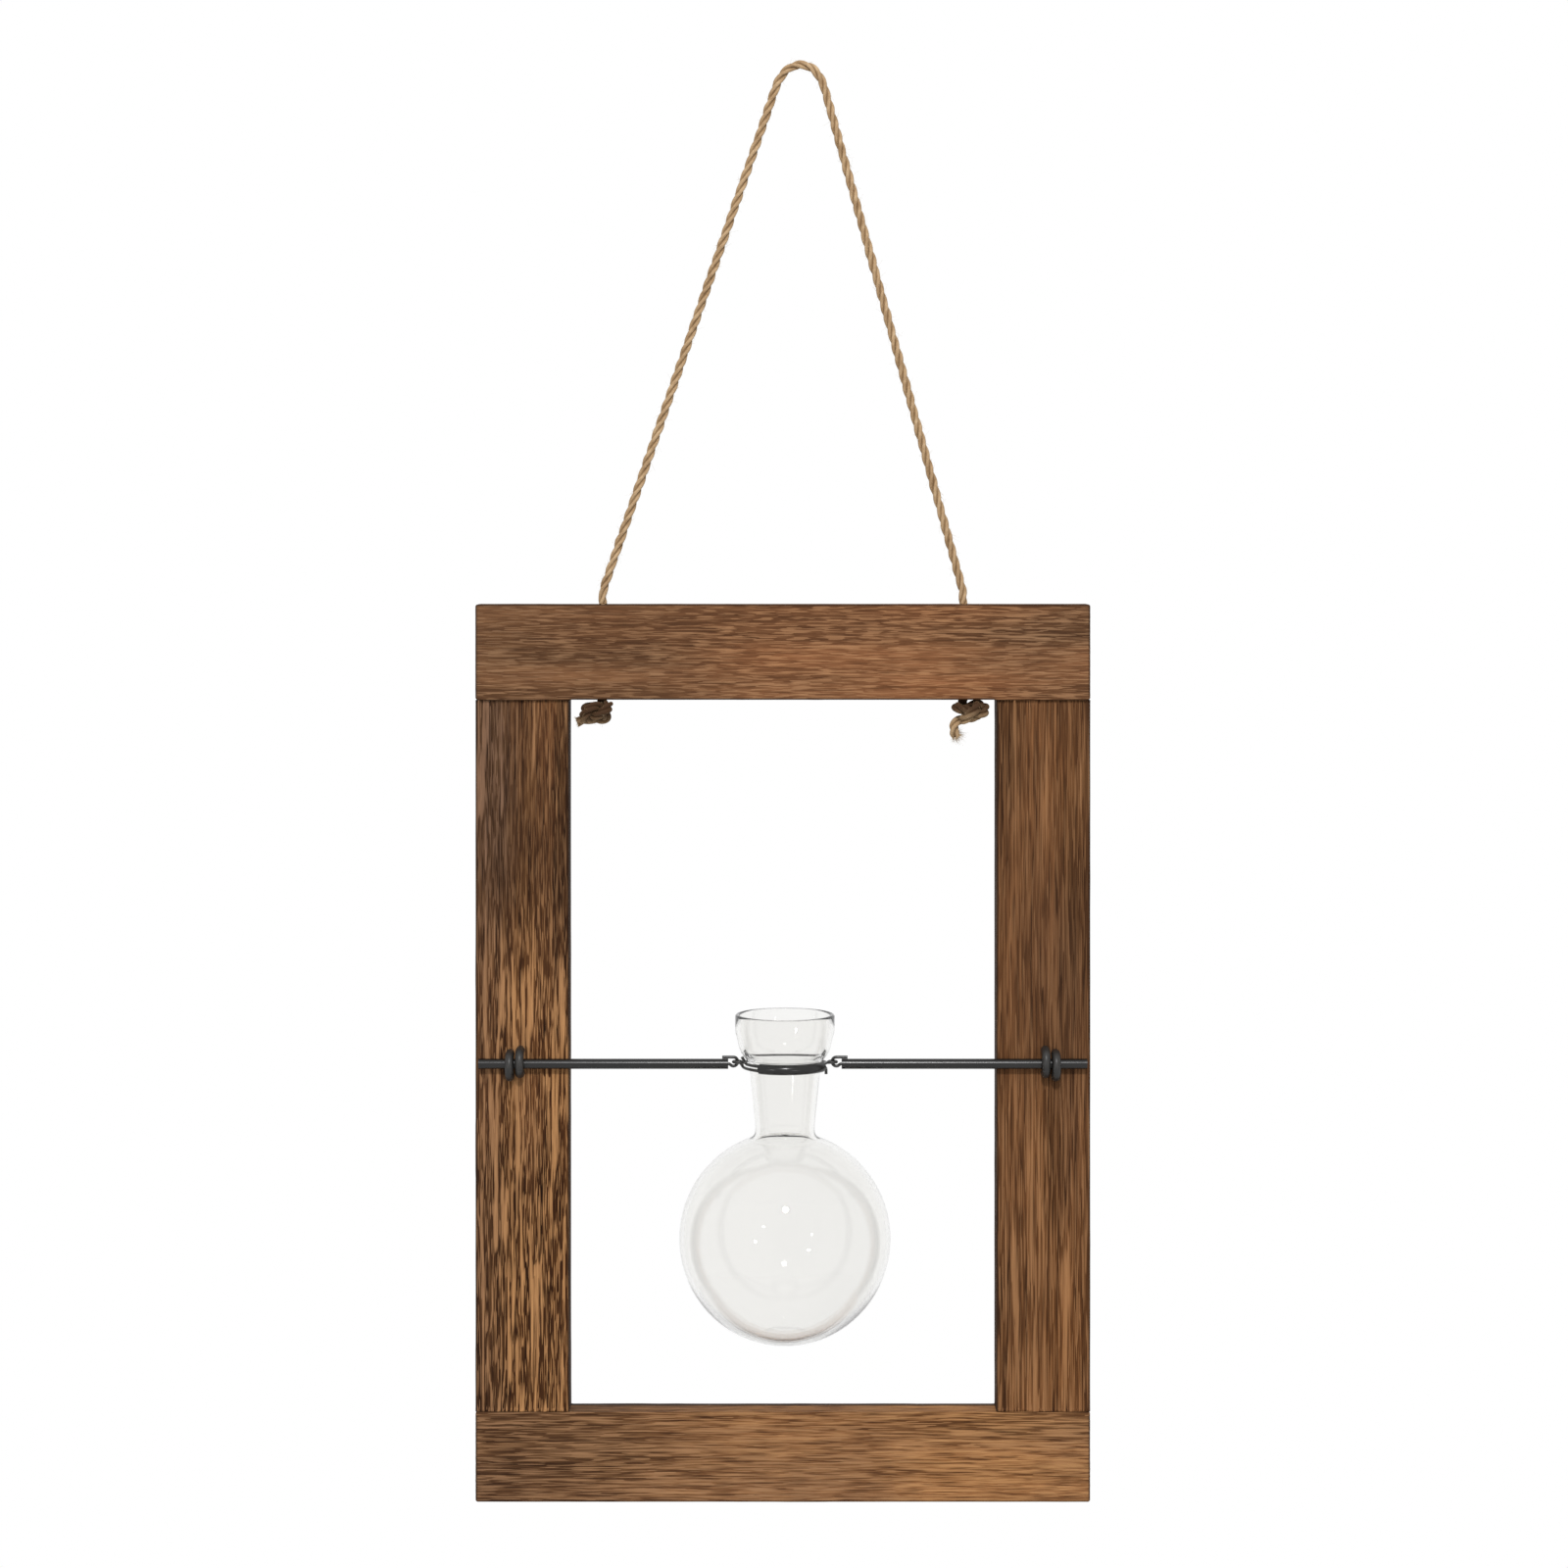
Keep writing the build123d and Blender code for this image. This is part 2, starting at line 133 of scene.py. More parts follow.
def evenly_along(line, spacing):
    """The line's own points, read from Blender, then spaced evenly by arc length."""
    mesh = bpy.data.meshes.new_from_object(line)
    places = np.empty(3 * len(mesh.vertices))
    mesh.vertices.foreach_get("co", places)
    places = places.reshape(-1, 3)
    bpy.data.meshes.remove(mesh)
    along = np.concatenate([[0], np.cumsum(np.linalg.norm(np.diff(places, axis=0), axis=1))])
    even = np.linspace(0, along[-1], int(along[-1] / spacing) + 1)
    return np.stack([np.interp(even, along, places[:, axis]) for axis in range(3)], axis=1)


def length_of(path):
    """The length of a path given as points: the sum of the distances between them."""
    return np.linalg.norm(np.diff(path, axis=0), axis=1).sum()


print("4 mm from the first point to the second:", towards((0, 0, 0), (10, 0, 0), 4))

# %% [markdown]
# The rope comes before the other pieces. Its control points are the few places where it changes
# direction: out of each hole in the rail, and at the two shoulders of the hook. A NURBS line cuts
# inside such points, so each long straight leg gets one more point about six diameters from the
# hook and one near the hole, and stays straight between them.

# %% The rope's line
rope_diameter = 3.0 * mm
rope_hole_reach = 60.5 * mm
rope_exit_run = 4.0 * mm
hook_bend_radius = 7.4 * mm
apex_left_share, apex_right_share = 1.067, 1.126
hook_straight_start = 6 * rope_diameter
rope_step = 0.35 * mm

left_hole, right_hole = frame_x - rope_hole_reach, frame_x + rope_hole_reach
left_corner = (left_hole, 0, frame_top + rope_exit_run)
right_corner = (right_hole, 0, frame_top + rope_exit_run)
rope_rise = rope_diameter / 2 - left_corner[2]
left_bend, right_bend = math.atan2(rope_rise, -left_hole), math.atan2(rope_rise, right_hole)
hook_left = (-hook_bend_radius * math.tan(left_bend / 2) * apex_left_share, 0, rope_diameter / 2)
hook_right = (hook_bend_radius * math.tan(right_bend / 2) * apex_right_share, 0, rope_diameter / 2)
rope_points = np.array([
    (left_hole, 0, frame_top),
    left_corner,
    towards(left_corner, hook_left, rope_exit_run),
    towards(hook_left, left_corner, hook_straight_start),
    hook_left,
    hook_right,
    towards(hook_right, right_corner, hook_straight_start),
    towards(right_corner, hook_right, rope_exit_run),
    right_corner,
    (right_hole, 0, frame_top),
])
rope_path = evenly_along(nurbs_line("rope_line", rope_points), rope_step)

# %% [markdown]
# Most of the soft and round pieces are a section carried along a path. The section needs two
# directions across the path at each point. They come from a fixed reference direction, which by
# itself would turn the section where the path bends in space, so that turn is added up and
# taken away again. A twisted section then turns only as its own lay says.

# %% Helpers for sections carried along a path
def carried_directions(path, reference):
    """The heading at each point, and two directions across it that don't turn about it on the way.

    The first guess is the cross product of reference and heading. What it turns from one point to
    the next is the arcsine of its share along the last second direction, summed up and undone.
    """
    heading = np.gradient(path, axis=0)
    heading /= np.linalg.norm(heading, axis=1)[:, None]
    across = np.cross(reference, heading)
    across /= np.linalg.norm(across, axis=1)[:, None]
    second = np.cross(heading, across)
    twist = np.arcsin(np.clip(np.einsum("ij,ij->i", across[1:], second[:-1]), -1, 1))
    back = -np.concatenate([[0], np.cumsum(twist)])[:, None]
    return (
        heading,
        np.cos(back) * across + np.sin(back) * second,
        np.cos(back) * second - np.sin(back) * across,
    )


def smooth_step(value, low, high):
    """0 below low, 1 above high, and a smooth rise between them."""
    share = np.clip((value - low) / (high - low), 0, 1)
    return share * share * (3 - 2 * share)


def tube_faces(rows, sides):
    """Quads of a tube of that many rings, and one closing face at each end, all facing outward."""
    row, side = np.meshgrid(np.arange(rows - 1), np.arange(sides), indexing="ij")
    after = (side + 1) % sides
    here, beyond = row * sides, (row + 1) * sides
    quads = np.stack([here + side, here + after, beyond + after, beyond + side], axis=-1)
    ends = [np.arange(sides)[::-1].tolist(), ((rows - 1) * sides + np.arange(sides)).tolist()]
    return quads.reshape(-1, 4).tolist() + ends


def make_piece(name, points, faces, uv=None, **attributes):
    """A smooth mesh object, with a texture coordinate and named values at its points."""
    mesh = bpy.data.meshes.new(name)
    mesh.from_pydata(points.reshape(-1, 3).tolist(), [], faces)
    mesh.polygons.foreach_set("use_smooth", np.ones(len(mesh.polygons), dtype=bool))
    if uv is not None:
        corners = np.empty(len(mesh.loops), dtype=np.int32)
        mesh.loops.foreach_get("vertex_index", corners)
        mesh.uv_layers.new(name="along").uv.foreach_set("vector", uv.reshape(-1, 2)[corners].ravel())
    for key, values in attributes.items():
        attribute = mesh.attributes.new(key, "FLOAT", "POINT")
        attribute.data.foreach_set("value", values.astype(np.float32).ravel())
    piece = bpy.data.objects.new(name, mesh)
    bpy.context.scene.collection.objects.link(piece)
    return piece


print("a tube of 3 rings with 4 sides has", len(tube_faces(3, 4)), "faces")

# %% [markdown]
# Three-strand rope is one such section with three round lobes. It turns once in about five
# diameters, to the right, as the photograph shows. A smooth tube with a twisted bump would look
# flat at its edges, so the grooves are in the mesh.

# %% Three-strand rope
rope_lay = 14.4 * mm
strand_count = 3
rope_sides = 42
lump_spacing = 2.4 * mm
fewest_lumps = 6
lump_share = 0.03
# How far under the rail, in mm, the painted shade on the knots starts to fade and ends; the left knot's
# reaches further.
soot_reach = (2.0, 8.5)
left_soot_reach = (4.0, 11.0)


def lobes(turn):
    """How far touching round strands reach, as a share of the rope's radius.

    With strands of radius a about a circle of radius h, where a is h times the sine of half the
    angle between two strands, a ray at angle t from a strand's middle leaves it at
    h cos t + root(a squared - h squared sin squared t).
    """
    circle = 1 / (1 + math.sin(math.pi / strand_count))
    strand = 1 - circle
    sector = 2 * math.pi / strand_count
    t = (turn + sector / 2) % sector - sector / 2
    return circle * np.cos(t) + np.sqrt(np.maximum(strand**2 - (circle * np.sin(t)) ** 2, 0))


def make_rope(name, path, diameter, reference, seed, reach_of_soot=soot_reach):
    """Rope along a path, its lobed section turning with the lay, its strands slightly uneven.

    The last argument says how far under the rail, in millimetres, the painted shade of the rail on the rope
    starts to fade and ends.
    """
    across, second = carried_directions(path, np.array(reference))[1:]
    along = np.linspace(0, length_of(path), len(path))[:, None]
    turn = np.linspace(0, 2 * math.pi, rope_sides, endpoint=False)[None, :]
    reach = lobes(turn - 2 * math.pi * along / rope_lay)
    random = np.random.default_rng(seed)
    lumps = np.linspace(0, along[-1, 0], max(fewest_lumps, int(along[-1, 0] / lump_spacing)))
    swell = np.interp(along[:, 0], lumps, random.normal(0, lump_share, len(lumps)))[:, None]
    radius = (diameter / 2 * (1 + swell) * reach)[..., None]
    points = path[:, None] + radius * (
        np.cos(turn)[..., None] * across[:, None] + np.sin(turn)[..., None] * second[:, None]
    )
    uv = np.stack(np.broadcast_arrays(turn / (2 * math.pi), along / diameter), axis=-1)
    groove = (reach - reach.min()) / (reach.max() - reach.min())
    # Painted shade: how far the rope is darkened, as if shaded by the rail just above it.
    under = (rail_under - points[..., 2]) / mm
    soot = np.where(under > 0, 1 - smooth_step(under, *reach_of_soot), 0)
    return make_piece(name, points, tube_faces(len(path), rope_sides), uv, crown=groove, soot=soot)


rope = make_rope("rope", rope_path, rope_diameter, (0, 1, 0), seed=3)
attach(rope, "frame")
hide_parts("hanging_rope")
print(rope.name, "has", len(rope.data.polygons), "faces")

# %% [markdown]
# Under the rail each end of the rope is drawn tight in an overhand knot. Its line is the
# three-lobed one that a simple knot takes when it is pulled round: the rope goes twice round the
# middle while it goes in and out three times. The line starts with the leg that comes down the
# hole, and ends with a short tail.

# %% The knots' lines
knot_circle_radius = 3.34 * mm
knot_lobe_radius = 1.46 * mm
knot_depth_radius = 1.5 * mm
knot_end_spread = 2.1 * mm
knot_spread_reach = 0.9
knot_stations = 61
knot_dip = math.radians(16.5)
knot_roll = math.radians(-9)
knot_seat_gap = 0.4 * mm
knot_cad_diameter = 2.4 * mm
tail_stations = 12
knot_step = 0.16 * mm
down = np.array([0.0, 0.0, -1.0])


def unit(vector):
    """The vector at length 1."""
    return vector / np.linalg.norm(vector)


def overhand_knot():
    """The knot's own line, for an angle a that goes once round.

    It turns by 2 a about the middle, at the circle's radius plus the lobe's times cos 3 a, and its
    depth is the depth radius times sin 3 a. A smooth step spreads its two ends apart in depth.
    """
    angle = np.linspace(0, 2 * math.pi, knot_stations)
    ring = knot_circle_radius + knot_lobe_radius * np.cos(3 * angle)
    depth = knot_depth_radius * np.sin(3 * angle)
    for end, way in ((0, 1), (2 * math.pi, -1)):
        depth = depth + way * knot_end_spread * smooth_step(1 - abs(angle - end) / knot_spread_reach, 0, 1)
    return np.stack([ring * np.cos(2 * angle), ring * np.sin(2 * angle), depth], axis=1)


def turned(places, turn):
    """The knot's places laid along three directions, one turned and dipped, two rolled about it."""
    level_share = math.cos(knot_dip)
    along = -np.array([math.cos(turn) * level_share, math.sin(turn) * level_share, math.sin(knot_dip)])
    level = unit(np.cross(down, along))
    outward = level * math.cos(knot_roll) + np.cross(level, along) * math.sin(knot_roll)
    return places @ np.stack([outward, along, np.cross(outward, along)])


def arc_from(start, way, chord):
    """Points of the circle that leaves start along way and ends one chord further.

    The circle's radius is the chord's length over twice the sine of the angle between the two.
    """
    half = math.acos(way @ chord / np.linalg.norm(chord))
    inward = unit(chord - way * (way @ chord))
    radius = np.linalg.norm(chord) / (2 * math.sin(half))
    swing = np.linspace(0, 2 * half, tail_stations)[1:, None]
    return start + radius * (np.sin(swing) * way + (1 - np.cos(swing)) * inward)


def knot_line(name, hole_x, turn, tail):
    """The leg, the knot and the tail as one NURBS line, read back as evenly spaced points.

    The knot hangs so far under the rail that its rope just clears it. The leg comes straight down
    the hole, and its last corner lies where it and the knot's start need tangents of one length.
    """
    places = turned(overhand_knot(), math.radians(turn))
    heading = unit(places[1] - places[0])
    fall = knot_seat_gap + places[:, 2].max() + knot_cad_diameter / 2 - places[0, 2]
    bend = math.acos(heading @ down)
    aside = unit(heading * (1, 1, 0)) * fall * math.tan(bend / 2)
    places += np.array([hole_x, 0, rail_under - fall]) + aside - places[0]
    leg_corner = (hole_x, 0, rail_under - fall * math.tan(bend / 2) / math.sin(bend))
    leg = [(hole_x, 0, frame_top), (hole_x, 0, rail_under), leg_corner]
    tail_points = arc_from(places[-1], unit(places[-1] - places[-2]), np.array(tail) * mm)
    return evenly_along(nurbs_line(name, np.array([*leg, *places, *tail_points])), knot_step)


left_knot_path = knot_line("left_knot_line", left_hole, turn=7, tail=(-6.9, 0.2, -1.0))
right_knot_path = knot_line("right_knot_line", right_hole, turn=50, tail=(-2.0, 0.6, -5.2))
for path in (left_knot_path, right_knot_path):
    print("rope in a knot:", round(length_of(path) / mm, 1), "mm")

# %% [markdown]
# Drawn tight, soft rope presses into itself, so the knots' rope is made a little thicker than its
# line leaves room for, and the strands close up against each other. One cord goes from hole to
# hole. The two knots are its ends and belong to it.

# %% The knots' ropes and the cord
knot_rope_diameter = 3.45 * mm
slanted_reference = (0.31, 0.88, 0.36)
left_knot = make_rope("left_knot", left_knot_path, knot_rope_diameter, slanted_reference, 5, left_soot_reach)
right_knot = make_rope("right_knot", right_knot_path, knot_rope_diameter, slanted_reference, 6)
for piece, node in ((left_knot, "left_rope_knot"), (right_knot, "right_rope_knot")):
    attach(piece, "frame")
    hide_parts(node)
    print(piece.name, "has", len(piece.data.polygons), "faces")

# %% [markdown]
# Colours are written as they are read from a photograph, in 0 to 255, and turned into the linear
# light that the shaders work in. A finish is a tree of nodes. The same few are joined again and
# again, so each gets a short name here: a noise stretched along one direction, a ramp of colours
# over a value, a sum, a mix and a bump.

# %% Helpers for finishes
def linear(*seen):
    """The linear colour of one that is seen as these values from 0 to 255: the sRGB curve undone."""
    share = np.array(seen) / 255
    return (*np.where(share > 0.04045, ((share + 0.055) / 1.055) ** 2.4, share / 12.92), 1.0)


black, white = (0, 0, 0, 1), (1, 1, 1, 1)


class Wiring:
    """Short ways to add nodes to one tree. A value may be a number, a colour or a node's output."""

    def __init__(self, tree):
        self.nodes, self.links = tree.nodes, tree.links

    def join(self, sockets, values):
        """Gives each named or counted socket its value, by a link if that is a node's output."""
        for key, value in values.items():
            if isinstance(value, bpy.types.NodeSocket):
                self.links.new(value, sockets[key])
            else:
                sockets[key].default_value = value

    def add(self, kind, values=None, **settings):
        """A new node with these settings and these values at its inputs. Gives back its outputs."""
        node = self.nodes.new(kind)
        for key, setting in settings.items():
            setattr(node, key, setting)
        self.join(node.inputs, values or {})
        return node.outputs

    def attribute(self, name):
        """The value that the mesh holds under this name."""
        return self.add("ShaderNodeAttribute", attribute_name=name)["Fac"]

    def noise(self, stretch, scale, detail=4.0, roughness=0.55):
        """Noise on object coordinates that are first multiplied by the three numbers of stretch."""
        place = self.add("ShaderNodeTexCoord")["Object"]
        stretched = self.add("ShaderNodeMapping", {"Vector": place, "Scale": stretch})["Vector"]
        values = {"Vector": stretched, "Scale": scale, "Detail": detail, "Roughness": roughness}
        return self.add("ShaderNodeTexNoise", values)["Fac"]

    def ramp(self, value, *stops):
        """A colour ramp over a value, its stops given as (place, colour)."""
        node = self.nodes.new("ShaderNodeValToRGB")
        elements = node.color_ramp.elements
        while len(elements) < len(stops):
            elements.new(0.5)
        for element, (place, colour) in zip(elements, stops):
            element.position, element.color = place, colour
        self.links.new(value, node.inputs["Fac"])
        return node.outputs["Color"]

    def spread(self, value, low, high):
        """The value from 0 to 1 spread from low to high."""
        return self.add("ShaderNodeMapRange", {"Value": value, "To Min": low, "To Max": high})["Result"]

    def reckon(self, kind, first, second):
        """Two values reckoned into one, such as by ADD or MULTIPLY."""
        return self.add("ShaderNodeMath", {0: first, 1: second}, operation=kind)["Value"]

    def weighted_sum(self, *parts):
        """The sum of values, each given as (share, value)."""
        total, *rest = [self.reckon("MULTIPLY", value, share) for share, value in parts]
        for part in rest:
            total = self.reckon("ADD", total, part)
        return total

    def mix(self, share, first, second, kind="MIX"):
        """A mix of two colours, all of the second where the share is 1, or with MULTIPLY their product."""
        values = {0: share, 6: first, 7: second}
        return self.add("ShaderNodeMix", values, data_type="RGBA", blend_type=kind)[2]

    def bump(self, height, strength, distance):
        """Bump from a height from 0 to 1, of that depth in metres."""
        values = {"Height": height, "Strength": strength, "Distance": distance}
        return self.add("ShaderNodeBump", values)["Normal"]


def new_finish(name):
    """A new material, its wiring and the input sockets of its shader."""
    material = bpy.data.materials.new(name)
    material.use_nodes = True
    wiring = Wiring(material.node_tree)
    return material, wiring, wiring.nodes["Principled BSDF"].inputs


print("a seen grey of 128 is", round(float(linear(128, 128, 128)[0]), 3), "in linear light")

# %% [markdown]
# Jute is dull and hairy. Its fibres run along each strand, so their noise is stretched on the
# rope's own coordinate, which is sheared by the lay. The grooves between the strands are darker,
# both because less light gets in and because dust stays there. Just under the rail the knots get
# painted shade, dark brown as if shaded by the rail, less so lower down.

# %% Jute
fibre_cells = (46.0, 1.6)
fibre_share, patch_share = 0.62, 0.38
# How dark the painted shade under the rail makes the knots.
rail_shade_strength = 0.96


def make_jute():
    """Jute fibre: fine lines along the strands, darker in the grooves, soft at its edges.

    The rope's own coordinate is (turns round, diameters along). Taking the lay's turn away from the
    first makes it constant along a strand. The noise has fibre_cells in a turn and in a diameter.
    """
    material, wiring, surface = new_finish("jute fibre")
    uv = wiring.add("ShaderNodeUVMap", uv_map="along")["UV"]
    apart = wiring.add("ShaderNodeSeparateXYZ", {"Vector": uv})
    lay_turn = wiring.reckon("MULTIPLY", apart["Y"], rope_diameter / rope_lay)
    around = wiring.reckon("SUBTRACT", apart["X"], lay_turn)
    fibre_place = wiring.add("ShaderNodeCombineXYZ", {
        "X": wiring.reckon("MULTIPLY", around, fibre_cells[0]),
        "Y": wiring.reckon("MULTIPLY", apart["Y"], fibre_cells[1]),
    })["Vector"]
    values = {"Vector": fibre_place, "Scale": 1.0, "Detail": 5.0, "Roughness": 0.65}
    fibres = wiring.add("ShaderNodeTexNoise", values)["Fac"]
    patches = wiring.noise((1, 1, 1), 260.0, detail=3.0)
    fibre_colour = wiring.ramp(
        wiring.weighted_sum((fibre_share, fibres), (patch_share, patches)),
        (0.30, linear(130, 101, 70)), (0.45, linear(172, 141, 106)),
        (0.56, linear(198, 168, 131)), (0.72, linear(224, 199, 163)),
    )
    groove_shade = wiring.ramp(
        wiring.attribute("crown"),
        (0.0, (0.26, 0.21, 0.15, 1)), (0.35, (0.64, 0.59, 0.52, 1)), (0.8, white),
    )
    shaded = wiring.mix(1.0, fibre_colour, groove_shade, "MULTIPLY")
    # Painted shade: under the rail the knots are mixed towards dark brown, standing in for the rail's shade.
    painted_rail_shade = wiring.reckon("MULTIPLY", wiring.attribute("soot"), rail_shade_strength)
    wiring.join(surface, {
        "Base Color": wiring.mix(painted_rail_shade, shaded, linear(56, 31, 14)),
        "Roughness": wiring.spread(fibres, 0.95, 0.75),
        "Specular IOR Level": 0.2,
        "Sheen Weight": 0.2,
        "Sheen Tint": linear(224, 190, 140),
        "Normal": wiring.bump(fibres, 0.8, 0.16 * mm),
    })
    return material


jute = make_jute()
for piece in (rope, left_knot, right_knot):
    piece.data.materials.append(jute)
print("jute on", [piece.name for piece in (rope, left_knot, right_knot)])

# %% [markdown]
# Loose hairs stand off a jute rope all the way. Each is a thin tapered thread of three sides. They
# are all made at once as one array: a root on the rope, a way out, and a curl that grows with the
# square of the distance along the hair.

# %% Loose hairs on the rope
hair_radius = 0.035 * mm
hair_rings = 5
hair_sides = 3
hair_taper = 0.75
root_reach = 0.42
tuft_reach = 0.46
tuft_spread = 1.4
tuft_sink = 0.3 * mm


def hair_mesh(name, root, way, curl, length):
    """Hairs as one mesh, each a tapered tube.

    A hair's line is root + way * length * t + curl * length * t squared, with t from 0 to 1.
    """
    t = np.linspace(0, 1, hair_rings)[None, :, None]
    line = root[:, None] + (way * length)[:, None] * t + (curl * length)[:, None] * t**2
    first = np.cross(way, curl)
    first /= np.linalg.norm(first, axis=1)[:, None]
    other = np.cross(way, first)
    corner = np.linspace(0, 2 * math.pi, hair_sides, endpoint=False)[None, None, :, None]
    radius = hair_radius * (1 - hair_taper * t[..., None])
    across = np.cos(corner) * first[:, None, None] + np.sin(corner) * other[:, None, None]
    one = tube_faces(hair_rings, hair_sides)
    starts = range(0, len(root) * hair_rings * hair_sides, hair_rings * hair_sides)
    faces = [[index + start for index in face] for start in starts for face in one]
    return make_piece(name, line[:, :, None] + radius * across, faces)


def make_hairs(name, path, diameter, count, longest, seed):
    """Hairs that stand off a rope's path on all sides, most of them short and close to it."""
    random = np.random.default_rng(seed)
    heading, across, second = carried_directions(path, np.array(slanted_reference))
    at = random.integers(2, len(path) - 2, count)
    turn = random.uniform(0, 2 * math.pi, count)[:, None]
    out = np.cos(turn) * across[at] + np.sin(turn) * second[at]
    side = np.cos(turn) * second[at] - np.sin(turn) * across[at]
    lift = random.uniform(0.15, 1.0, (count, 1))
    way = out * lift + heading[at] * random.choice([-1, 1], (count, 1))
    way += side * random.normal(0.4, 0.5, (count, 1))
    way /= np.linalg.norm(way, axis=1)[:, None]
    length = longest * random.uniform(0.25, 1, (count, 1)) ** 1.5
    curl = random.normal(0, 0.35, (count, 3))
    return hair_mesh(name, path[at] + out * diameter * root_reach, way, curl, length)


def make_tuft(name, path, diameter, count, longest, seed):
    """The frayed end of a rope: fibres from all over its cut face, which spread as they leave it."""
    random = np.random.default_rng(seed)
    directions = carried_directions(path, np.array(slanted_reference))
    heading, across, second = (direction[-1] for direction in directions)
    turn = random.uniform(0, 2 * math.pi, count)[:, None]
    reach = np.sqrt(random.uniform(0, 1, (count, 1))) * tuft_reach
    out = np.cos(turn) * across + np.sin(turn) * second
    way = heading + out * (reach * tuft_spread + random.normal(0, 0.12, (count, 1)))
    way /= np.linalg.norm(way, axis=1)[:, None]
    length = longest * random.uniform(0.4, 1, (count, 1))
    root = path[-1] - heading * tuft_sink + out * reach * diameter
    curl = out * 0.3 + random.normal(0, 0.2, (count, 3))
    return hair_mesh(name, root, way, curl, length)


def make_hair_finish():
    """Single jute fibres, paler than the rope."""
    material, wiring, surface = new_finish("jute hair")
    patches = wiring.noise((1, 1, 1), 900.0)
    colour = wiring.ramp(patches, (0.35, linear(176, 146, 104)), (0.7, linear(222, 198, 160)))
    wiring.join(surface, {"Base Color": colour, "Roughness": 0.7})
    return material


hair_finish = make_hair_finish()

# Each row gives the name, the maker, the rope's path and diameter, the count, the longest and the seed.
hair_plan = [
    ("rope_hairs", make_hairs, rope_path, rope_diameter, 1500, 2.6 * mm, 11),
    ("left_knot_hairs", make_hairs, left_knot_path, knot_rope_diameter, 160, 2.0 * mm, 12),
    ("right_knot_hairs", make_hairs, right_knot_path, knot_rope_diameter, 160, 2.0 * mm, 13),
    ("left_tail_end", make_tuft, left_knot_path, knot_rope_diameter, 150, 0.9 * mm, 14),
    ("right_tail_end", make_tuft, right_knot_path, knot_rope_diameter, 320, 2.4 * mm, 15),
]
for name, make, *rest in hair_plan:
    hairs = make(name, *rest)
    hairs.data.materials.append(hair_finish)
    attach(hairs, "frame")
    print(hairs.name, "has", len(hairs.data.polygons), "faces")

# %% [markdown]
# The boards were torched and then brushed, which burns the soft wood away between the hard
# fibres and leaves these standing as tan streaks on dark brown. That is a relief one can feel, so
# it is in the mesh. It comes from noise whose cells are much longer along the grain than across
# it, because that is how wood changes.

# %% Noise
hash_factors = (73856093, 19349663, 83492791)
table_size = 1 << 16
cells_shifted = 4096


def cell_noise(points, cell, seed):
    """Smooth noise from 0 to 1: a random value at each corner of a grid of cells, blended inside.

    A corner's value is looked up in a table, at its three whole numbers hashed into one.
    """
    scaled = points / (np.array(cell) * mm) + cells_shifted
    low = np.floor(scaled).astype(np.int64)
    part = smooth_step(scaled - low, 0, 1)
    table = np.random.default_rng(seed).random(table_size)
    total = np.zeros(len(points))
    for corner in np.ndindex(2, 2, 2):
        key = np.bitwise_xor.reduce((low + corner) * hash_factors, axis=1)
        total += table[key & (table_size - 1)] * np.prod(np.where(corner, part, 1 - part), axis=1)
    return total


def grain_noise(points, axis, cell, seed):
    """Noise in cells that are cell[0] millimetres along the grain and cell[1] across it."""
    return cell_noise(points, [cell[0] if direction == axis else cell[1] for direction in range(3)], seed)


print("noise at the hook:", grain_noise(np.zeros((1, 3)), 0, (8, 0.5), 100).round(3))

# %% [markdown]
# Each board is its rounded section carried along its length, as a grid with many more points
# across the grain than along it. A cube with a bevel would be quicker, but its faces would be far
# too large to take the relief.

# %% A board as a grid
edge_round = 0.5 * mm
corner_round = 0.9 * mm
stile_end_round = 0.05 * mm
edge_steps = 6
across_step, along_step = 0.29 * mm, 1.25 * mm
slit = 0.2 * mm
narrowest = 0.02 * mm


def board_section(width, depth):
    """Once round the section: the places of its quarter circles' middles, from -1 to 1, and its facing.

    A quarter circle keeps one place while its facing turns. A straight side goes on to the next
    place and keeps its facing.
    """
    corners = np.array([(1, 1), (-1, 1), (-1, -1), (1, -1)])
    places, facing = [], []
    for quarter, side in enumerate((width, depth, width, depth)):
        start, end = corners[quarter], corners[(quarter + 1) % 4]
        angle = quarter * math.pi / 2 + np.linspace(0, math.pi / 2, edge_steps)
        share = np.linspace(0, 1, max(2, round(side / across_step)), endpoint=False)[1:, None]
        places += [np.tile(start, (edge_steps, 1)), start + (end - start) * share]
        facing += [angle, np.full(len(share), angle[-1])]
    return np.concatenate(places), np.concatenate(facing)


def board_rows(length, half_depth, end_round):
    """For each row from end to end: how far its section shrinks, its place and how far it faces the end."""
    flat = np.arange(half_depth - slit, end_round, -across_step)
    swing = np.linspace(0, math.pi / 2, edge_steps)[:-1]
    inset = np.concatenate([flat, end_round * (1 - np.sin(swing))])
    place = np.concatenate([0 * flat, end_round * (1 - np.cos(swing))])
    axial = np.concatenate([0 * flat - 1, -np.cos(swing)])
    body = np.linspace(end_round, length - end_round, round((length - 2 * end_round) / along_step))
    return (
        np.concatenate([inset, 0 * body, inset[::-1]])[:, None],
        np.concatenate([place, body, length - place[::-1]])[:, None],
        np.concatenate([axial, 0 * body, -axial[::-1]])[:, None],
    )


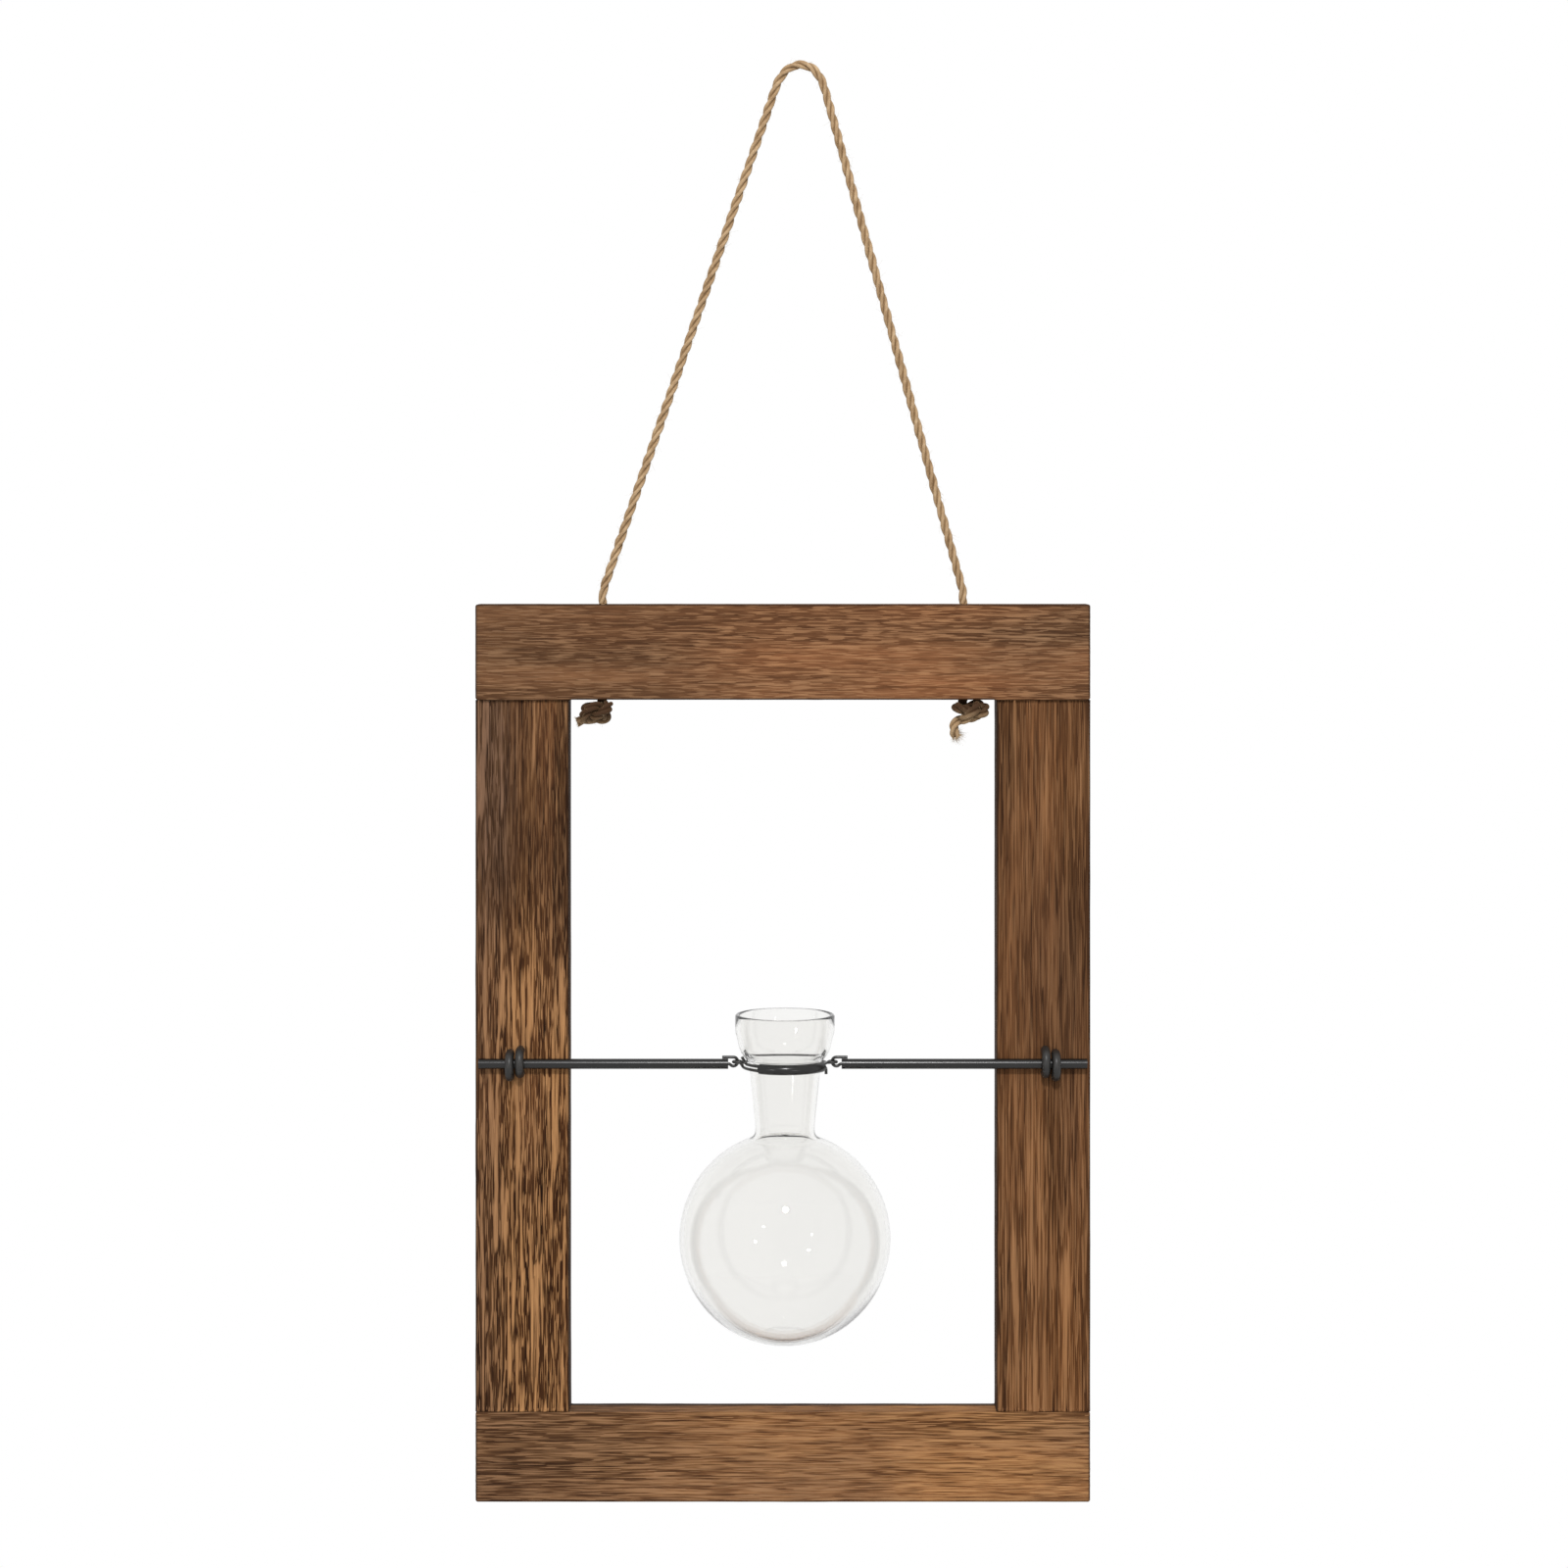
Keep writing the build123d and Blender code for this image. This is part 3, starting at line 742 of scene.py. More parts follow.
def board_grid(low, high, axis, end_round):
    """Points and outward directions of a rounded board, rows along axis and columns round it.

    The section is four quarter circles joined by straight sides. Towards an end it shrinks along
    one more quarter circle, and on the flat of the end it shrinks on, down to a narrow slit.
    """
    across = (1, 2) if axis == 0 else (0, 1)
    half = (high - low) / 2 - edge_round
    middle = (low + high) / 2
    places, facing = board_section(*(2 * half[direction] for direction in across))
    inset, along, axial = board_rows(high[axis] - low[axis], half.min() + edge_round, end_round)
    corner = np.maximum(edge_round - inset, narrowest)
    less = np.maximum(inset - edge_round, 0)
    points, ways = np.zeros((2, len(inset), len(facing), 3))
    for direction, place, way in zip(across, places.T, (np.cos(facing), np.sin(facing))):
        straight = place * np.maximum(half[direction] - less, narrowest)
        points[..., direction] = middle[direction] + straight + corner * way
        ways[..., direction] = np.sqrt(1 - axial**2) * way
    points[..., axis] = low[axis] + along
    ways[..., axis] = axial
    return points, ways


print("a 30 x 12 mm board has", len(board_section(29 * mm, 11 * mm)[0]), "points round it")

# %% [markdown]
# A rail's rounded edge would leave a groove where a stile's end meets it, and the real joint is
# tight. There the edge is drawn out to a square one. The torch burns edges most. Thin faces are
# darkened by char together with painted shade, so the stiles' inner faces and the top rail's
# underside come out dark, while the sill's top stays light but for its back edge. Neither reaches
# into the joint.

# %% Joints and burnt edges
joint_height = 1.2 * mm
joint_fade = (-0.4 * mm, 0.6 * mm)
burnt_edge = (0.1 * mm, 1.0 * mm)
edge_burn, end_burn, sill_burn = 0.9, 0.85, 0.95
sill_burn_start, sill_burn_end = 4 * mm, 2 * mm
face_turning = (0.2, 0.7)
rail_end_share = 1.5
least_offset = 0.01 * mm


def joint_shares(points):
    """1 where a point's x is within a stile's width, and whether it is at a rail's inner face."""
    on_stile = smooth_step(abs(points[:, 0] - frame_x), *(window_reach + fade for fade in joint_fade))
    to_face = np.minimum(abs(points[:, 2] - rail_under), abs(points[:, 2] - sill_top))
    return on_stile, to_face < joint_height


def squared_at_joints(points, low, high):
    """A rail's points, those of its quarter circles moved out to the square round the same middle.

    A point moves by its distance from that middle over the longer leg of its offset from it.
    """
    on_stile, at_joint = joint_shares(points)
    offset = (points - np.clip(points, low + edge_round, high - edge_round)) * (0, 1, 1)
    square = np.linalg.norm(offset, axis=1) / np.maximum(abs(offset).max(axis=1), least_offset)
    inner = abs(points[:, 0] - frame_x) < (high[0] - low[0]) / 2 - rail_end_share * corner_round
    return points + offset * ((square - 1) * inner * on_stile * at_joint)[:, None]


def burn_of(points, ways, to_edge, axis, depth_end, face_burn):
    """How dark each point is made: its burnt edges, its thin faces by the face share as char and painted
    shade together, and a rail's ends and sill.
    """
    # Thin faces: char and painted shade together, which leaves the faces that sit in shade dark.
    thin_face = smooth_step(1 - abs(ways[:, 1]), *face_turning)
    burn = np.maximum(edge_burn * (1 - smooth_step(to_edge, *burnt_edge)), face_burn * thin_face)
    if axis == 0:
        on_stile, at_joint = joint_shares(points)
        end_face = abs(ways[:, 0])
        burn = np.maximum(burn, end_burn * end_face)
        burn = np.where(at_joint, burn * (1 - on_stile * (1 - end_face)), burn)
        far = smooth_step(points[:, 1], depth_end - sill_burn_start, depth_end - sill_burn_end)
        burn = np.where(abs(points[:, 2] - sill_top) < joint_height, sill_burn * far, burn)
    return burn


print("a stile's width starts", round(window_reach / mm, 2), "mm from the frame's middle")

# %% [markdown]
# The rope goes through two round holes in the top rail. They are cut at the end with a Boolean
# modifier, because a grid can't have a hole in it, and so that the relief doesn't close them.

# %% Holes
hole_sides = 40
rope_hole_radius = 2.0 * mm
hole_overrun = 2 * mm


def cut_holes(mesh, holes):
    """The mesh with upright round holes cut through, each given as its middle, radius and half length."""
    turn = np.linspace(0, 2 * math.pi, hole_sides, endpoint=False)
    points, faces = [], []
    for middle, radius, half in holes:
        start = 2 * hole_sides * len(points)
        faces += [[index + start for index in face] for face in tube_faces(2, hole_sides)]
        ring = np.stack([radius * np.cos(turn), radius * np.sin(turn), 0 * turn], axis=1)
        points.append(np.concatenate([ring + (0, 0, -half), ring + (0, 0, half)]) + middle)
    cutter = make_piece("cutter", np.concatenate(points), faces)
    board = bpy.data.objects.new("board", mesh)
    bpy.context.scene.collection.objects.link(board)
    cut = board.modifiers.new("holes", "BOOLEAN")
    cut.operation, cut.solver, cut.object = "DIFFERENCE", "EXACT", cutter
    fine = bpy.data.meshes.new_from_object(board.evaluated_get(bpy.context.evaluated_depsgraph_get()))
    for thing in (board, cutter):
        old = thing.data
        bpy.data.objects.remove(thing)
        bpy.data.meshes.remove(old)
    return fine


def rope_holes():
    """The two upright holes of the rope."""
    middle_z, reach = (frame_top + rail_under) / 2, (frame_top - rail_under) / 2 + hole_overrun
    return [((x, 0, middle_z), rope_hole_radius, reach) for x in (left_hole, right_hole)]


print("rope holes at x", [round(float(hole[0][0]) / mm, 1) for hole in rope_holes()], "mm")

# %% [markdown]
# The relief is three layers: fine fibres, long fibres and raised streaks, all on points that are
# pushed aside a little by broader noise, so that the grain bends. The layers are also written at
# the mesh's points, for the finish to colour the same streaks that stand up.

# %% A board with its grain
bend_cell, small_bend_cell, small_bend_share = (48, 13), (19, 6), 0.4
fine_cell, long_cell = (8, 0.5), (34, 0.9)
patch_cell, patch_strength = (70, 7), 1.25
warm_cell, warm_strength = (60, 9), 0.7
grain_warp = 0.45 * mm
small_streak_share, small_streak_length_share, small_streak_width_share = 0.4, 0.6, 0.7
streak_limit, streak_limit_fall, streak_step = 0.74, 0.24, 0.12
height_shares = (0.34, 0.30, 0.36)
edge_wear_reach, edge_wear_share = 1.5 * mm, 0.4


def grain_layers(points, axis, streak_cell, streak_share, seed):
    """Fine fibres, long fibres and raised streaks, each from 0 to 1.

    A streak stands where its noise is over a limit, which falls as streak_share rises.
    """
    bend = grain_noise(points, axis, bend_cell, seed)
    bend += small_bend_share * grain_noise(points, axis, small_bend_cell, seed + 1)
    sideways = np.array([direction != axis for direction in range(3)])
    bent = points + grain_warp * (bend - (1 + small_bend_share) / 2)[:, None] * sideways
    fine = grain_noise(bent, axis, fine_cell, seed + 2)
    long = grain_noise(bent, axis, long_cell, seed + 3)
    small_cell = (small_streak_length_share * streak_cell[0], small_streak_width_share * streak_cell[1])
    streak = (1 - small_streak_share) * grain_noise(bent, axis, streak_cell, seed + 4)
    streak += small_streak_share * grain_noise(bent, axis, small_cell, seed + 6)
    limit = streak_limit - streak_limit_fall * streak_share
    return fine, long, smooth_step(streak, limit, limit + streak_step)


def make_board(name, node, axis, relief, streak_cell, most_streaks, busy_at, warmth_at, shade_at,
               face_burn, seed, holes=()):
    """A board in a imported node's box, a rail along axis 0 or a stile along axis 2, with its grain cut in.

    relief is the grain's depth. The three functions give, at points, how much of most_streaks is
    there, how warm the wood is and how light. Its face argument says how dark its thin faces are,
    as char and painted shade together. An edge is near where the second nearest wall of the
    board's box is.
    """
    low, high = (np.array(corner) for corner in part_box(node))
    grid, ways = board_grid(low, high, axis, corner_round if axis == 0 else stile_end_round)
    points, ways = grid.reshape(-1, 3), ways.reshape(-1, 3)
    if axis == 0:
        points = squared_at_joints(points, low, high)
    busy = busy_at(points)
    fine, long, streak = grain_layers(points, axis, streak_cell, most_streaks * busy, seed)
    walls = [0, 1, 2, 3, 4, 5] if axis == 0 else [0, 1, 3, 4]
    to_walls = np.concatenate([points - low, high - points], axis=1)
    to_edge = np.sort(to_walls[:, walls], axis=1)[:, 1]
    to_end = to_walls[:, [axis, axis + 3]].min(axis=1)
    burn = burn_of(points, ways, to_edge, axis, high[1], face_burn)
    patch = 0.5 + shade_at(points) + patch_strength * (grain_noise(points, axis, patch_cell, seed + 5) - 0.5)
    warm = warmth_at(points) + warm_strength * (grain_noise(points, axis, warm_cell, seed + 7) - 0.5)
    height = height_shares[0] * fine + height_shares[1] * long + height_shares[2] * streak
    wear = smooth_step(np.minimum(to_edge, to_end), 0, edge_wear_reach)
    depth = relief * (1 - height) * (edge_wear_share + (1 - edge_wear_share) * wear)
    busy, patch, warm = (np.clip(values, 0, 1) for values in (busy, patch, warm))
    board = make_piece(
        name, points - ways * depth[:, None], tube_faces(*grid.shape[:2]),
        grain=(fine + long) / 2, streak=streak, busy=busy, patch=patch, warm=warm, burn=burn,
    )
    if holes:
        uncut = board.data
        board.data = cut_holes(uncut.copy(), holes)
        board.data.name = name
        bpy.data.meshes.remove(uncut)
    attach(board, "frame")
    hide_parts(node)
    print(name, "has", len(board.data.polygons), "faces, cut in by up to", round(relief / mm, 2), "mm")
    return board


def right_of(points, start, end):
    """0 left of start and 1 right of end, in millimetres from the frame's middle."""
    return smooth_step((points[:, 0] - frame_x) / mm, start, end)


def below(points, start, end):
    """0 above start and 1 below end, in millimetres under the hook."""
    return smooth_step(-points[:, 2] / mm, start, end)


print("grain bends aside by up to", round(grain_warp * (1 + small_bend_share) / 2 / mm, 2), "mm")

# %% [markdown]
# Each board has its own grain. On the left upright the torched wood is smooth above and streaked
# below, the right upright has long streaks all the way, and the rails have fine long fibres. The
# same layers make all of them, with other lengths, depths and shares.

# %% Four boards
# The face value in each call darkens thin faces, by char and painted shade together.
top_board = make_board(
    "top_board", "top_rail", 0, relief=0.20 * mm, streak_cell=(8, 0.5), most_streaks=0.45,
    busy_at=lambda points: 0.6 + 0.4 * right_of(points, -60, 0),
    warmth_at=lambda points: 0.15 + 0.65 * right_of(points, -50, 0) - 0.45 * right_of(points, 45, 95),
    shade_at=lambda points: -0.22 * below(points, 203, 211) - 0.22 * right_of(points, 40, 90) - 0.1,
    face_burn=0.6, seed=100, holes=rope_holes(),
)
bottom_board = make_board(
    "bottom_board", "bottom_rail", 0, relief=0.28 * mm, streak_cell=(18, 0.7), most_streaks=0.65,
    busy_at=lambda points: 0.8 + 0.2 * right_of(points, -90, -40),
    warmth_at=lambda points: (
        0.1 + 0.3 * right_of(points, -60, 0) + 0.6 * right_of(points, 20, 60)
        - 0.35 * right_of(points, 75, 100)
    ),
    shade_at=lambda points: -0.44 * (1 - right_of(points, -85, -30)) + 0.10 * right_of(points, 20, 60),
    face_burn=0.8, seed=200,
)
left_board = make_board(
    "left_board", "left_stile", 2, relief=0.38 * mm, streak_cell=(24, 0.75), most_streaks=0.78,
    busy_at=lambda points: (
        below(points, 255, 318) + 0.8 * (1 - right_of(points, -95, -91)) * (1 - below(points, 250, 275))
    ),
    warmth_at=lambda points: 0.05 + 0.5 * right_of(points, -97, -86) + 0.45 * below(points, 255, 318),
    shade_at=lambda points: (
        0.1 - 0.75 * right_of(points, -76.6, -75.4) * (1 - below(points, 260, 290))
        - 0.62 * below(points, 345, 385)
    ),
    face_burn=0.85, seed=300,
)
right_board = make_board(
    "right_board", "right_stile", 2, relief=0.30 * mm, streak_cell=(40, 0.8), most_streaks=0.7,
    busy_at=lambda points: 0.45 + 0.55 * below(points, 300, 400),
    warmth_at=lambda points: 0.3 + 0.35 * below(points, 330, 430),
    shade_at=lambda points: (
        0.05 - 0.30 * (1 - right_of(points, 72, 84)) - 0.12 * (1 - below(points, 250, 330))
    ),
    face_burn=0.85, seed=400,
)

# %% [markdown]
# The wood's finish reads those values. Low places are dark, the grain between is brown, the raised
# streaks are tan, and edges are burnt nearly black. Thin faces are nearly black too, from char and
# painted shade together. A much finer noise, stretched the same way, adds the single fibres that
# are too thin for the mesh, and short light and dark strokes, more of them where the board is busy.

# %% Finish of torched wood
# Near black of burnt edges, and of the char and painted shade on thin faces.
burnt = linear(44, 31, 24)
tone_stops = (0.38, 0.50, 0.63)
grain_share, vein_share, fibre_tone_share = 0.26, 0.34, 0.40
patch_range = (0.62, 1.38)
light_stops, dark_stops = ((0.57, black), (0.61, white)), ((0.29, white), (0.36, black))
vein_width, fibre_width, stroke_width = 0.7, 0.26, 0.30
least_strokes = 0.4
stroke_relief_share = 0.6


def make_wood(name, axis, stroke_length, light_share, dark_share, plain, warm, streaks):
    """Torched wood with its grain along axis.

    plain and warm are each a dark, a middle and a light colour, and streaks holds a streak's plain
    and its warm colour. The tone is a sum of the mesh's grain, a vein noise and a fibre noise.
    """
    material, wiring, surface = new_finish(name)
    plain, warm, streaks = ([linear(*colour) for colour in colours] for colours in (plain, warm, streaks))

    def along_grain(length, width, detail):
        """Noise in cells of this length along the grain and this width across it, in millimetres."""
        stretch = tuple(width / length if direction == axis else 1.0 for direction in range(3))
        return wiring.noise(stretch, 1 / (width * mm), detail, roughness=0.6)

    vein = along_grain(3 * stroke_length, vein_width, 3.0)
    fibre = along_grain(stroke_length, fibre_width, 2.0)
    stroke = along_grain(stroke_length, stroke_width, 0.0)
    grain = wiring.attribute("grain")
    tone = wiring.weighted_sum((grain_share, grain), (vein_share, vein), (fibre_tone_share, fibre))
    warmth = wiring.attribute("warm")
    grounds = [wiring.ramp(tone, *zip(tone_stops, colours)) for colours in (plain, warm)]
    patch = wiring.spread(wiring.attribute("patch"), *patch_range)
    colour = wiring.mix(1.0, wiring.mix(warmth, *grounds), patch, "MULTIPLY")
    streak_colour = wiring.mix(warmth, *streaks)
    busy = wiring.attribute("busy")
    for stops, stroke_colour, share in (
        (light_stops, streak_colour, light_share), (dark_stops, plain[0], dark_share),
    ):
        strength = wiring.spread(busy, least_strokes * share, share)
        amount = wiring.reckon("MULTIPLY", wiring.ramp(stroke, *stops), strength)
        colour = wiring.mix(amount, colour, stroke_colour)
    raised = wiring.reckon("MULTIPLY", wiring.attribute("streak"), wiring.spread(fibre, 0.35, 1.05))
    colour = wiring.mix(raised, colour, streak_colour)
    relief = wiring.weighted_sum((1.0, tone), (stroke_relief_share, stroke))
    # Burnt edges, and char with painted shade on thin faces, mixed towards near black.
    wiring.join(surface, {
        "Base Color": wiring.mix(wiring.attribute("burn"), colour, burnt),
        "Roughness": wiring.spread(tone, 0.52, 0.78),
        "Specular IOR Level": 0.05,
        "Normal": wiring.bump(relief, 0.5, 0.2 * mm),
    })
    return material


# Each row gives the board, the finish's name, its axis, how long a stroke is in millimetres and the
# shares of light and dark strokes, then the plain, the warm and the streaks' colours.
for board, *finish in (
    (top_board, "torched wood, top", 0, 6, 0.6, 0.15,
     [(88, 61, 42), (108, 76, 52), (129, 94, 65)],
     [(110, 71, 45), (138, 90, 58), (163, 111, 75)], [(150, 116, 86), (176, 127, 88)]),
    (bottom_board, "torched wood, bottom", 0, 9, 0.65, 0.5,
     [(60, 39, 26), (99, 68, 46), (138, 101, 71)],
     [(82, 51, 29), (137, 94, 58), (180, 134, 88)], [(156, 119, 88), (184, 135, 89)]),
    (left_board, "torched wood, left", 2, 8, 0.6, 0.45,
     [(37, 23, 15), (71, 49, 33), (94, 70, 50)],
     [(28, 15, 7), (80, 48, 27), (128, 87, 51)], [(136, 104, 82), (197, 145, 96)]),
    (right_board, "torched wood, right", 2, 16, 0.55, 0.45,
     [(54, 35, 22), (84, 56, 37), (113, 80, 54)],
     [(62, 36, 19), (114, 73, 41), (151, 102, 62)], [(144, 106, 75), (176, 127, 84)]),
):
    board.data.materials.append(make_wood(*finish))
    print(finish[0], "on", board.name)

# %% [markdown]
# The arms are thin wires in a tube of shiny black coating, the ring is bare enamelled wire and the
# ties are a softer, satin coating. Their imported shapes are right, so they stay and only get
# finishes: near black, with small changes of gloss and a faint waviness, because a perfectly even
# gloss is what makes a render of plastic look false.

# %% Finishes of tubes, wires and ties
def make_coating(name, colour, worn, gloss, wave_depth, coat=0.0):
    """A dark coating, its roughness from gloss[0] to gloss[1], slightly wavy."""
    material, wiring, surface = new_finish(name)
    broad = wiring.noise((1, 1, 1), 90.0, detail=2.0)
    specks = wiring.noise((1, 1, 1), 2200.0, detail=2.0)
    wiring.join(surface, {
        "Base Color": wiring.ramp(broad, (0.3, linear(*colour)), (0.75, linear(*worn))),
        "Roughness": wiring.spread(specks, *gloss),
        "Coat Weight": coat,
        "Coat Roughness": gloss[0],
        "Specular IOR Level": 0.42,
        "Normal": wiring.bump(broad, 0.5, wave_depth),
    })
    return material


def make_dowel_wood():
    """Plain pale wood of the hidden dowels."""
    material, wiring, surface = new_finish("pale dowel wood")
    fibre = wiring.noise((1, 1, 0.08), 1500.0)
    wiring.join(surface, {
        "Base Color": wiring.ramp(fibre, (0.3, linear(186, 150, 108)), (0.7, linear(222, 190, 148))),
        "Roughness": wiring.spread(fibre, 0.6, 0.8),
        "Normal": wiring.bump(fibre, 0.4, 0.1 * mm),
    })
    return material


shiny_coating = make_coating("shiny black coating", (16, 15, 15), (26, 25, 24), (0.19, 0.28), 0.07 * mm)
enamel = make_coating("black enamel", (18, 18, 17), (38, 36, 34), (0.22, 0.4), 0.04 * mm, coat=0.2)
soft_coating = make_coating("soft black coating", (30, 29, 28), (46, 44, 42), (0.34, 0.5), 0.08 * mm)
for material, names in (
    (shiny_coating, ("left_arm_tube", "right_arm_tube", "ring_tube")),
    (enamel, ("left_arm_wire", "right_arm_wire", "neck_ring")),
    (soft_coating, ("left_tie", "right_tie")),
    (make_dowel_wood(), ("top_left_dowels", "top_right_dowels", "bottom_left_dowels", "bottom_right_dowels")),
):
    for name in names:
        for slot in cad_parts[name].material_slots:
            slot.material = material
    print(material.name, "on", names)

# %% [markdown]
# The flask is blown glass: a ball with a small flat foot, a narrow waist, a flare and a round lip.
# It is one closed outline, up the outside and down the inside, turned about its axis. The packed
# flask has flat facets that glass would show, so this one is turned in far finer steps. The wall
# gets thicker towards the foot, as it does when glass is blown.

# %% The flask's outline
foot_radius, foot_drop = 8.0, 92.38
foot_shares = (0.5, 0.86)
bulb_radius, bulb_drop = 35.2, 58.1
waist_radius, waist_drop = 9.9, 20.5
seat_radius, seat_rise = 12.05, 0.82
flare_radius, flare_rise = 14.8, 3.6
lip_radius, lip_rise, mouth_rise = 16.6, 11.0, 16.6
shoulder_blend = 3.0
waist_blend, seat_blend, flare_blend, lip_blend = 20, 2, 8, 8
glass_wall = 1.5
bulb_steps, shoulder_steps, blend_steps, lip_steps = 120, 16, 14, 12


def arc(middle, radius, start, end, steps):
    """Points on a circle from one angle to another."""
    angle = np.linspace(start, end, steps)
    return np.stack([middle[0] + radius * np.cos(angle), middle[1] + radius * np.sin(angle)], axis=1)


def blended(points, radii):
    """A chain of straight lines, each inner corner rounded by an arc of its radius.

    With half the corner's angle h, the arc's middle lies on the bisector, radius / sin h from the
    corner, and the arc touches each line radius / tan h from it.
    """
    chain = [np.array(points[:1], dtype=float)]
    for before, corner, after, radius in zip(points, points[1:], points[2:], radii):
        before, corner, after = (np.array(place, dtype=float) for place in (before, corner, after))
        back = (before - corner) / np.linalg.norm(before - corner)
        on = (after - corner) / np.linalg.norm(after - corner)
        half = math.acos(np.clip(back @ on, -1, 1)) / 2
        reach = radius / math.tan(half)
        inward = (back + on) / np.linalg.norm(back + on)
        middle = corner + inward * radius / math.sin(half)
        start, end = corner + back * reach - middle, corner + on * reach - middle
        first = math.atan2(start[1], start[0])
        swing = (math.atan2(end[1], end[0]) - first + math.pi) % (2 * math.pi) - math.pi
        chain.append(arc(middle, radius, first, first + swing, blend_steps))
    chain.append(np.array(points[-1:], dtype=float))
    return np.concatenate(chain)


shoulder_reach = waist_radius + shoulder_blend
shoulder_height = math.sqrt((bulb_radius + shoulder_blend) ** 2 - shoulder_reach**2)
shoulder_rise = shoulder_height - bulb_drop
shoulder_middle = (shoulder_reach, shoulder_rise)
shoulder_angle = math.atan2(shoulder_height, shoulder_reach)
foot_angle = math.atan2(bulb_drop - foot_drop, foot_radius)
outside = np.concatenate([
    [(0, -foot_drop)],
    [(foot_radius * share, -foot_drop) for share in foot_shares],
    arc((0, -bulb_drop), bulb_radius, foot_angle, shoulder_angle, bulb_steps),
    arc(shoulder_middle, shoulder_blend, math.pi + shoulder_angle, math.pi, shoulder_steps)[1:],
    blended(
        [(waist_radius, shoulder_rise), (waist_radius, -waist_drop), (seat_radius, seat_rise),
         (flare_radius, flare_rise), (lip_radius, lip_rise), (lip_radius, mouth_rise - glass_wall / 2)],
        [waist_blend, seat_blend, flare_blend, lip_blend],
    )[1:],
])
print("outline of", len(outside), "points, from", outside[0].round(2), "to", outside[-1].round(2))

# %% [markdown]
# Turning the outline closes the glass by itself: it starts and ends on the axis, so each end is one
# point with a fan of triangles. Glass needs the inside wall too, or it would bend light like a
# solid ball.

# %% The flask
flask_sides = 236
thick_foot, thick_foot_height = 0.25, 22
inside_start = 0.4


def lathe(name, profile, middle, sides):
    """A profile of (radius, height) pairs turned about the upright line through middle.

    The profile starts and ends on the axis, where it closes in one point.
    """
    turn = np.linspace(0, 2 * math.pi, sides, endpoint=False)
    body = profile[1:-1]
    radius, height = body[:, :1], body[:, 1:]
    rings = np.stack([radius * np.cos(turn), radius * np.sin(turn), height + 0 * turn], axis=-1)
    points = np.concatenate([rings.reshape(-1, 3), [(0, 0, profile[0, 1]), (0, 0, profile[-1, 1])]])
    faces = tube_faces(len(body), sides)[:-2]
    first, last = len(points) - 2, len(points) - 1
    faces += [[first, (side + 1) % sides, side] for side in range(sides)]
    top = (len(body) - 1) * sides
    faces += [[last, top + side, top + (side + 1) % sides] for side in range(sides)]
    return make_piece(name, points * mm + middle, faces)


def inside_of(outline):
    """The inside of the wall: the outline moved in along its normal, more so near the foot."""
    way = np.gradient(outline, axis=0)
    way /= np.linalg.norm(way, axis=1)[:, None]
    inward = np.stack([-way[:, 1], way[:, 0]], axis=1)
    thicker = thick_foot * (1 - smooth_step(outline[:, 1] + foot_drop, 0, thick_foot_height))
    inner = outline + inward * (glass_wall + thicker)[:, None]
    return inner[inner[:, 0] > inside_start]


neck_middle = np.array([*(flask_low + flask_high)[:2] / 2, flask_high[2] - mouth_rise * mm])
inside = inside_of(outside)
half_wall = glass_wall / 2
lip = arc((lip_radius - half_wall, mouth_rise - half_wall), half_wall, 0, math.pi, lip_steps)[1:-1]
profile = np.concatenate([outside, lip, inside[::-1], [(0, inside[0, 1])]])
flask = lathe("glass_flask", profile, neck_middle, flask_sides)
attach(flask, "flask")
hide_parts("flask")
print("flask has", len(flask.data.polygons), "faces")

# %% [markdown]
# Clear glass bends what is behind it. Its colour is faintly warm, and its surface a little uneven,
# as blown glass is, which shows as soft bends in the highlights.

# %% Glass
def make_glass():
    """Clear blown glass, slightly uneven."""
    material, wiring, surface = new_finish("clear blown glass")
    waves = wiring.noise((1, 1, 0.7), 28.0, detail=1.0)
    wiring.join(surface, {
        "Base Color": wiring.ramp(waves, (0.3, (0.915, 0.912, 0.898, 1)), (0.7, (0.935, 0.93, 0.915, 1))),
        "Roughness": wiring.spread(waves, 0.0, 0.015),
        "IOR": 1.45,
        "Transmission Weight": 1.0,
        "Normal": wiring.bump(waves, 0.25, 0.5 * mm),
    })
    return material


flask.data.materials.append(make_glass())
print("glass on", flask.name)

# %% [markdown]
# The stage is plain: a pale floor some way below the hanging frame, which keeps its shadow and
# fades into the white backdrop towards its edge.

# %% Floor
floor_drop = 0.30
floor_reach = 0.85
floor_fade = (0.3, floor_reach)
floor_sides = 96


def make_floor_finish():
    """A pale matt finish that turns clear between the two distances of floor_fade from the middle."""
    material, wiring, surface = new_finish("pale floor")
    place = wiring.add("ShaderNodeTexCoord")["Object"]
    flat = wiring.add("ShaderNodeMapping", {"Vector": place, "Scale": (1, 1, 0)})["Vector"]
    distance = wiring.add("ShaderNodeVectorMath", {0: flat}, operation="LENGTH")["Value"]
    fade = wiring.ramp(distance, *zip(floor_fade, (black, white)))
    wiring.join(surface, {"Base Color": (0.93, 0.93, 0.93, 1), "Roughness": 0.9})
    solid = wiring.nodes["Principled BSDF"].outputs["BSDF"]
    clear = wiring.add("ShaderNodeBsdfTransparent")["BSDF"]
    both = wiring.add("ShaderNodeMixShader", {0: fade, 1: solid, 2: clear})["Shader"]
    wiring.join(wiring.nodes["Material Output"].inputs, {"Surface": both})
    return material


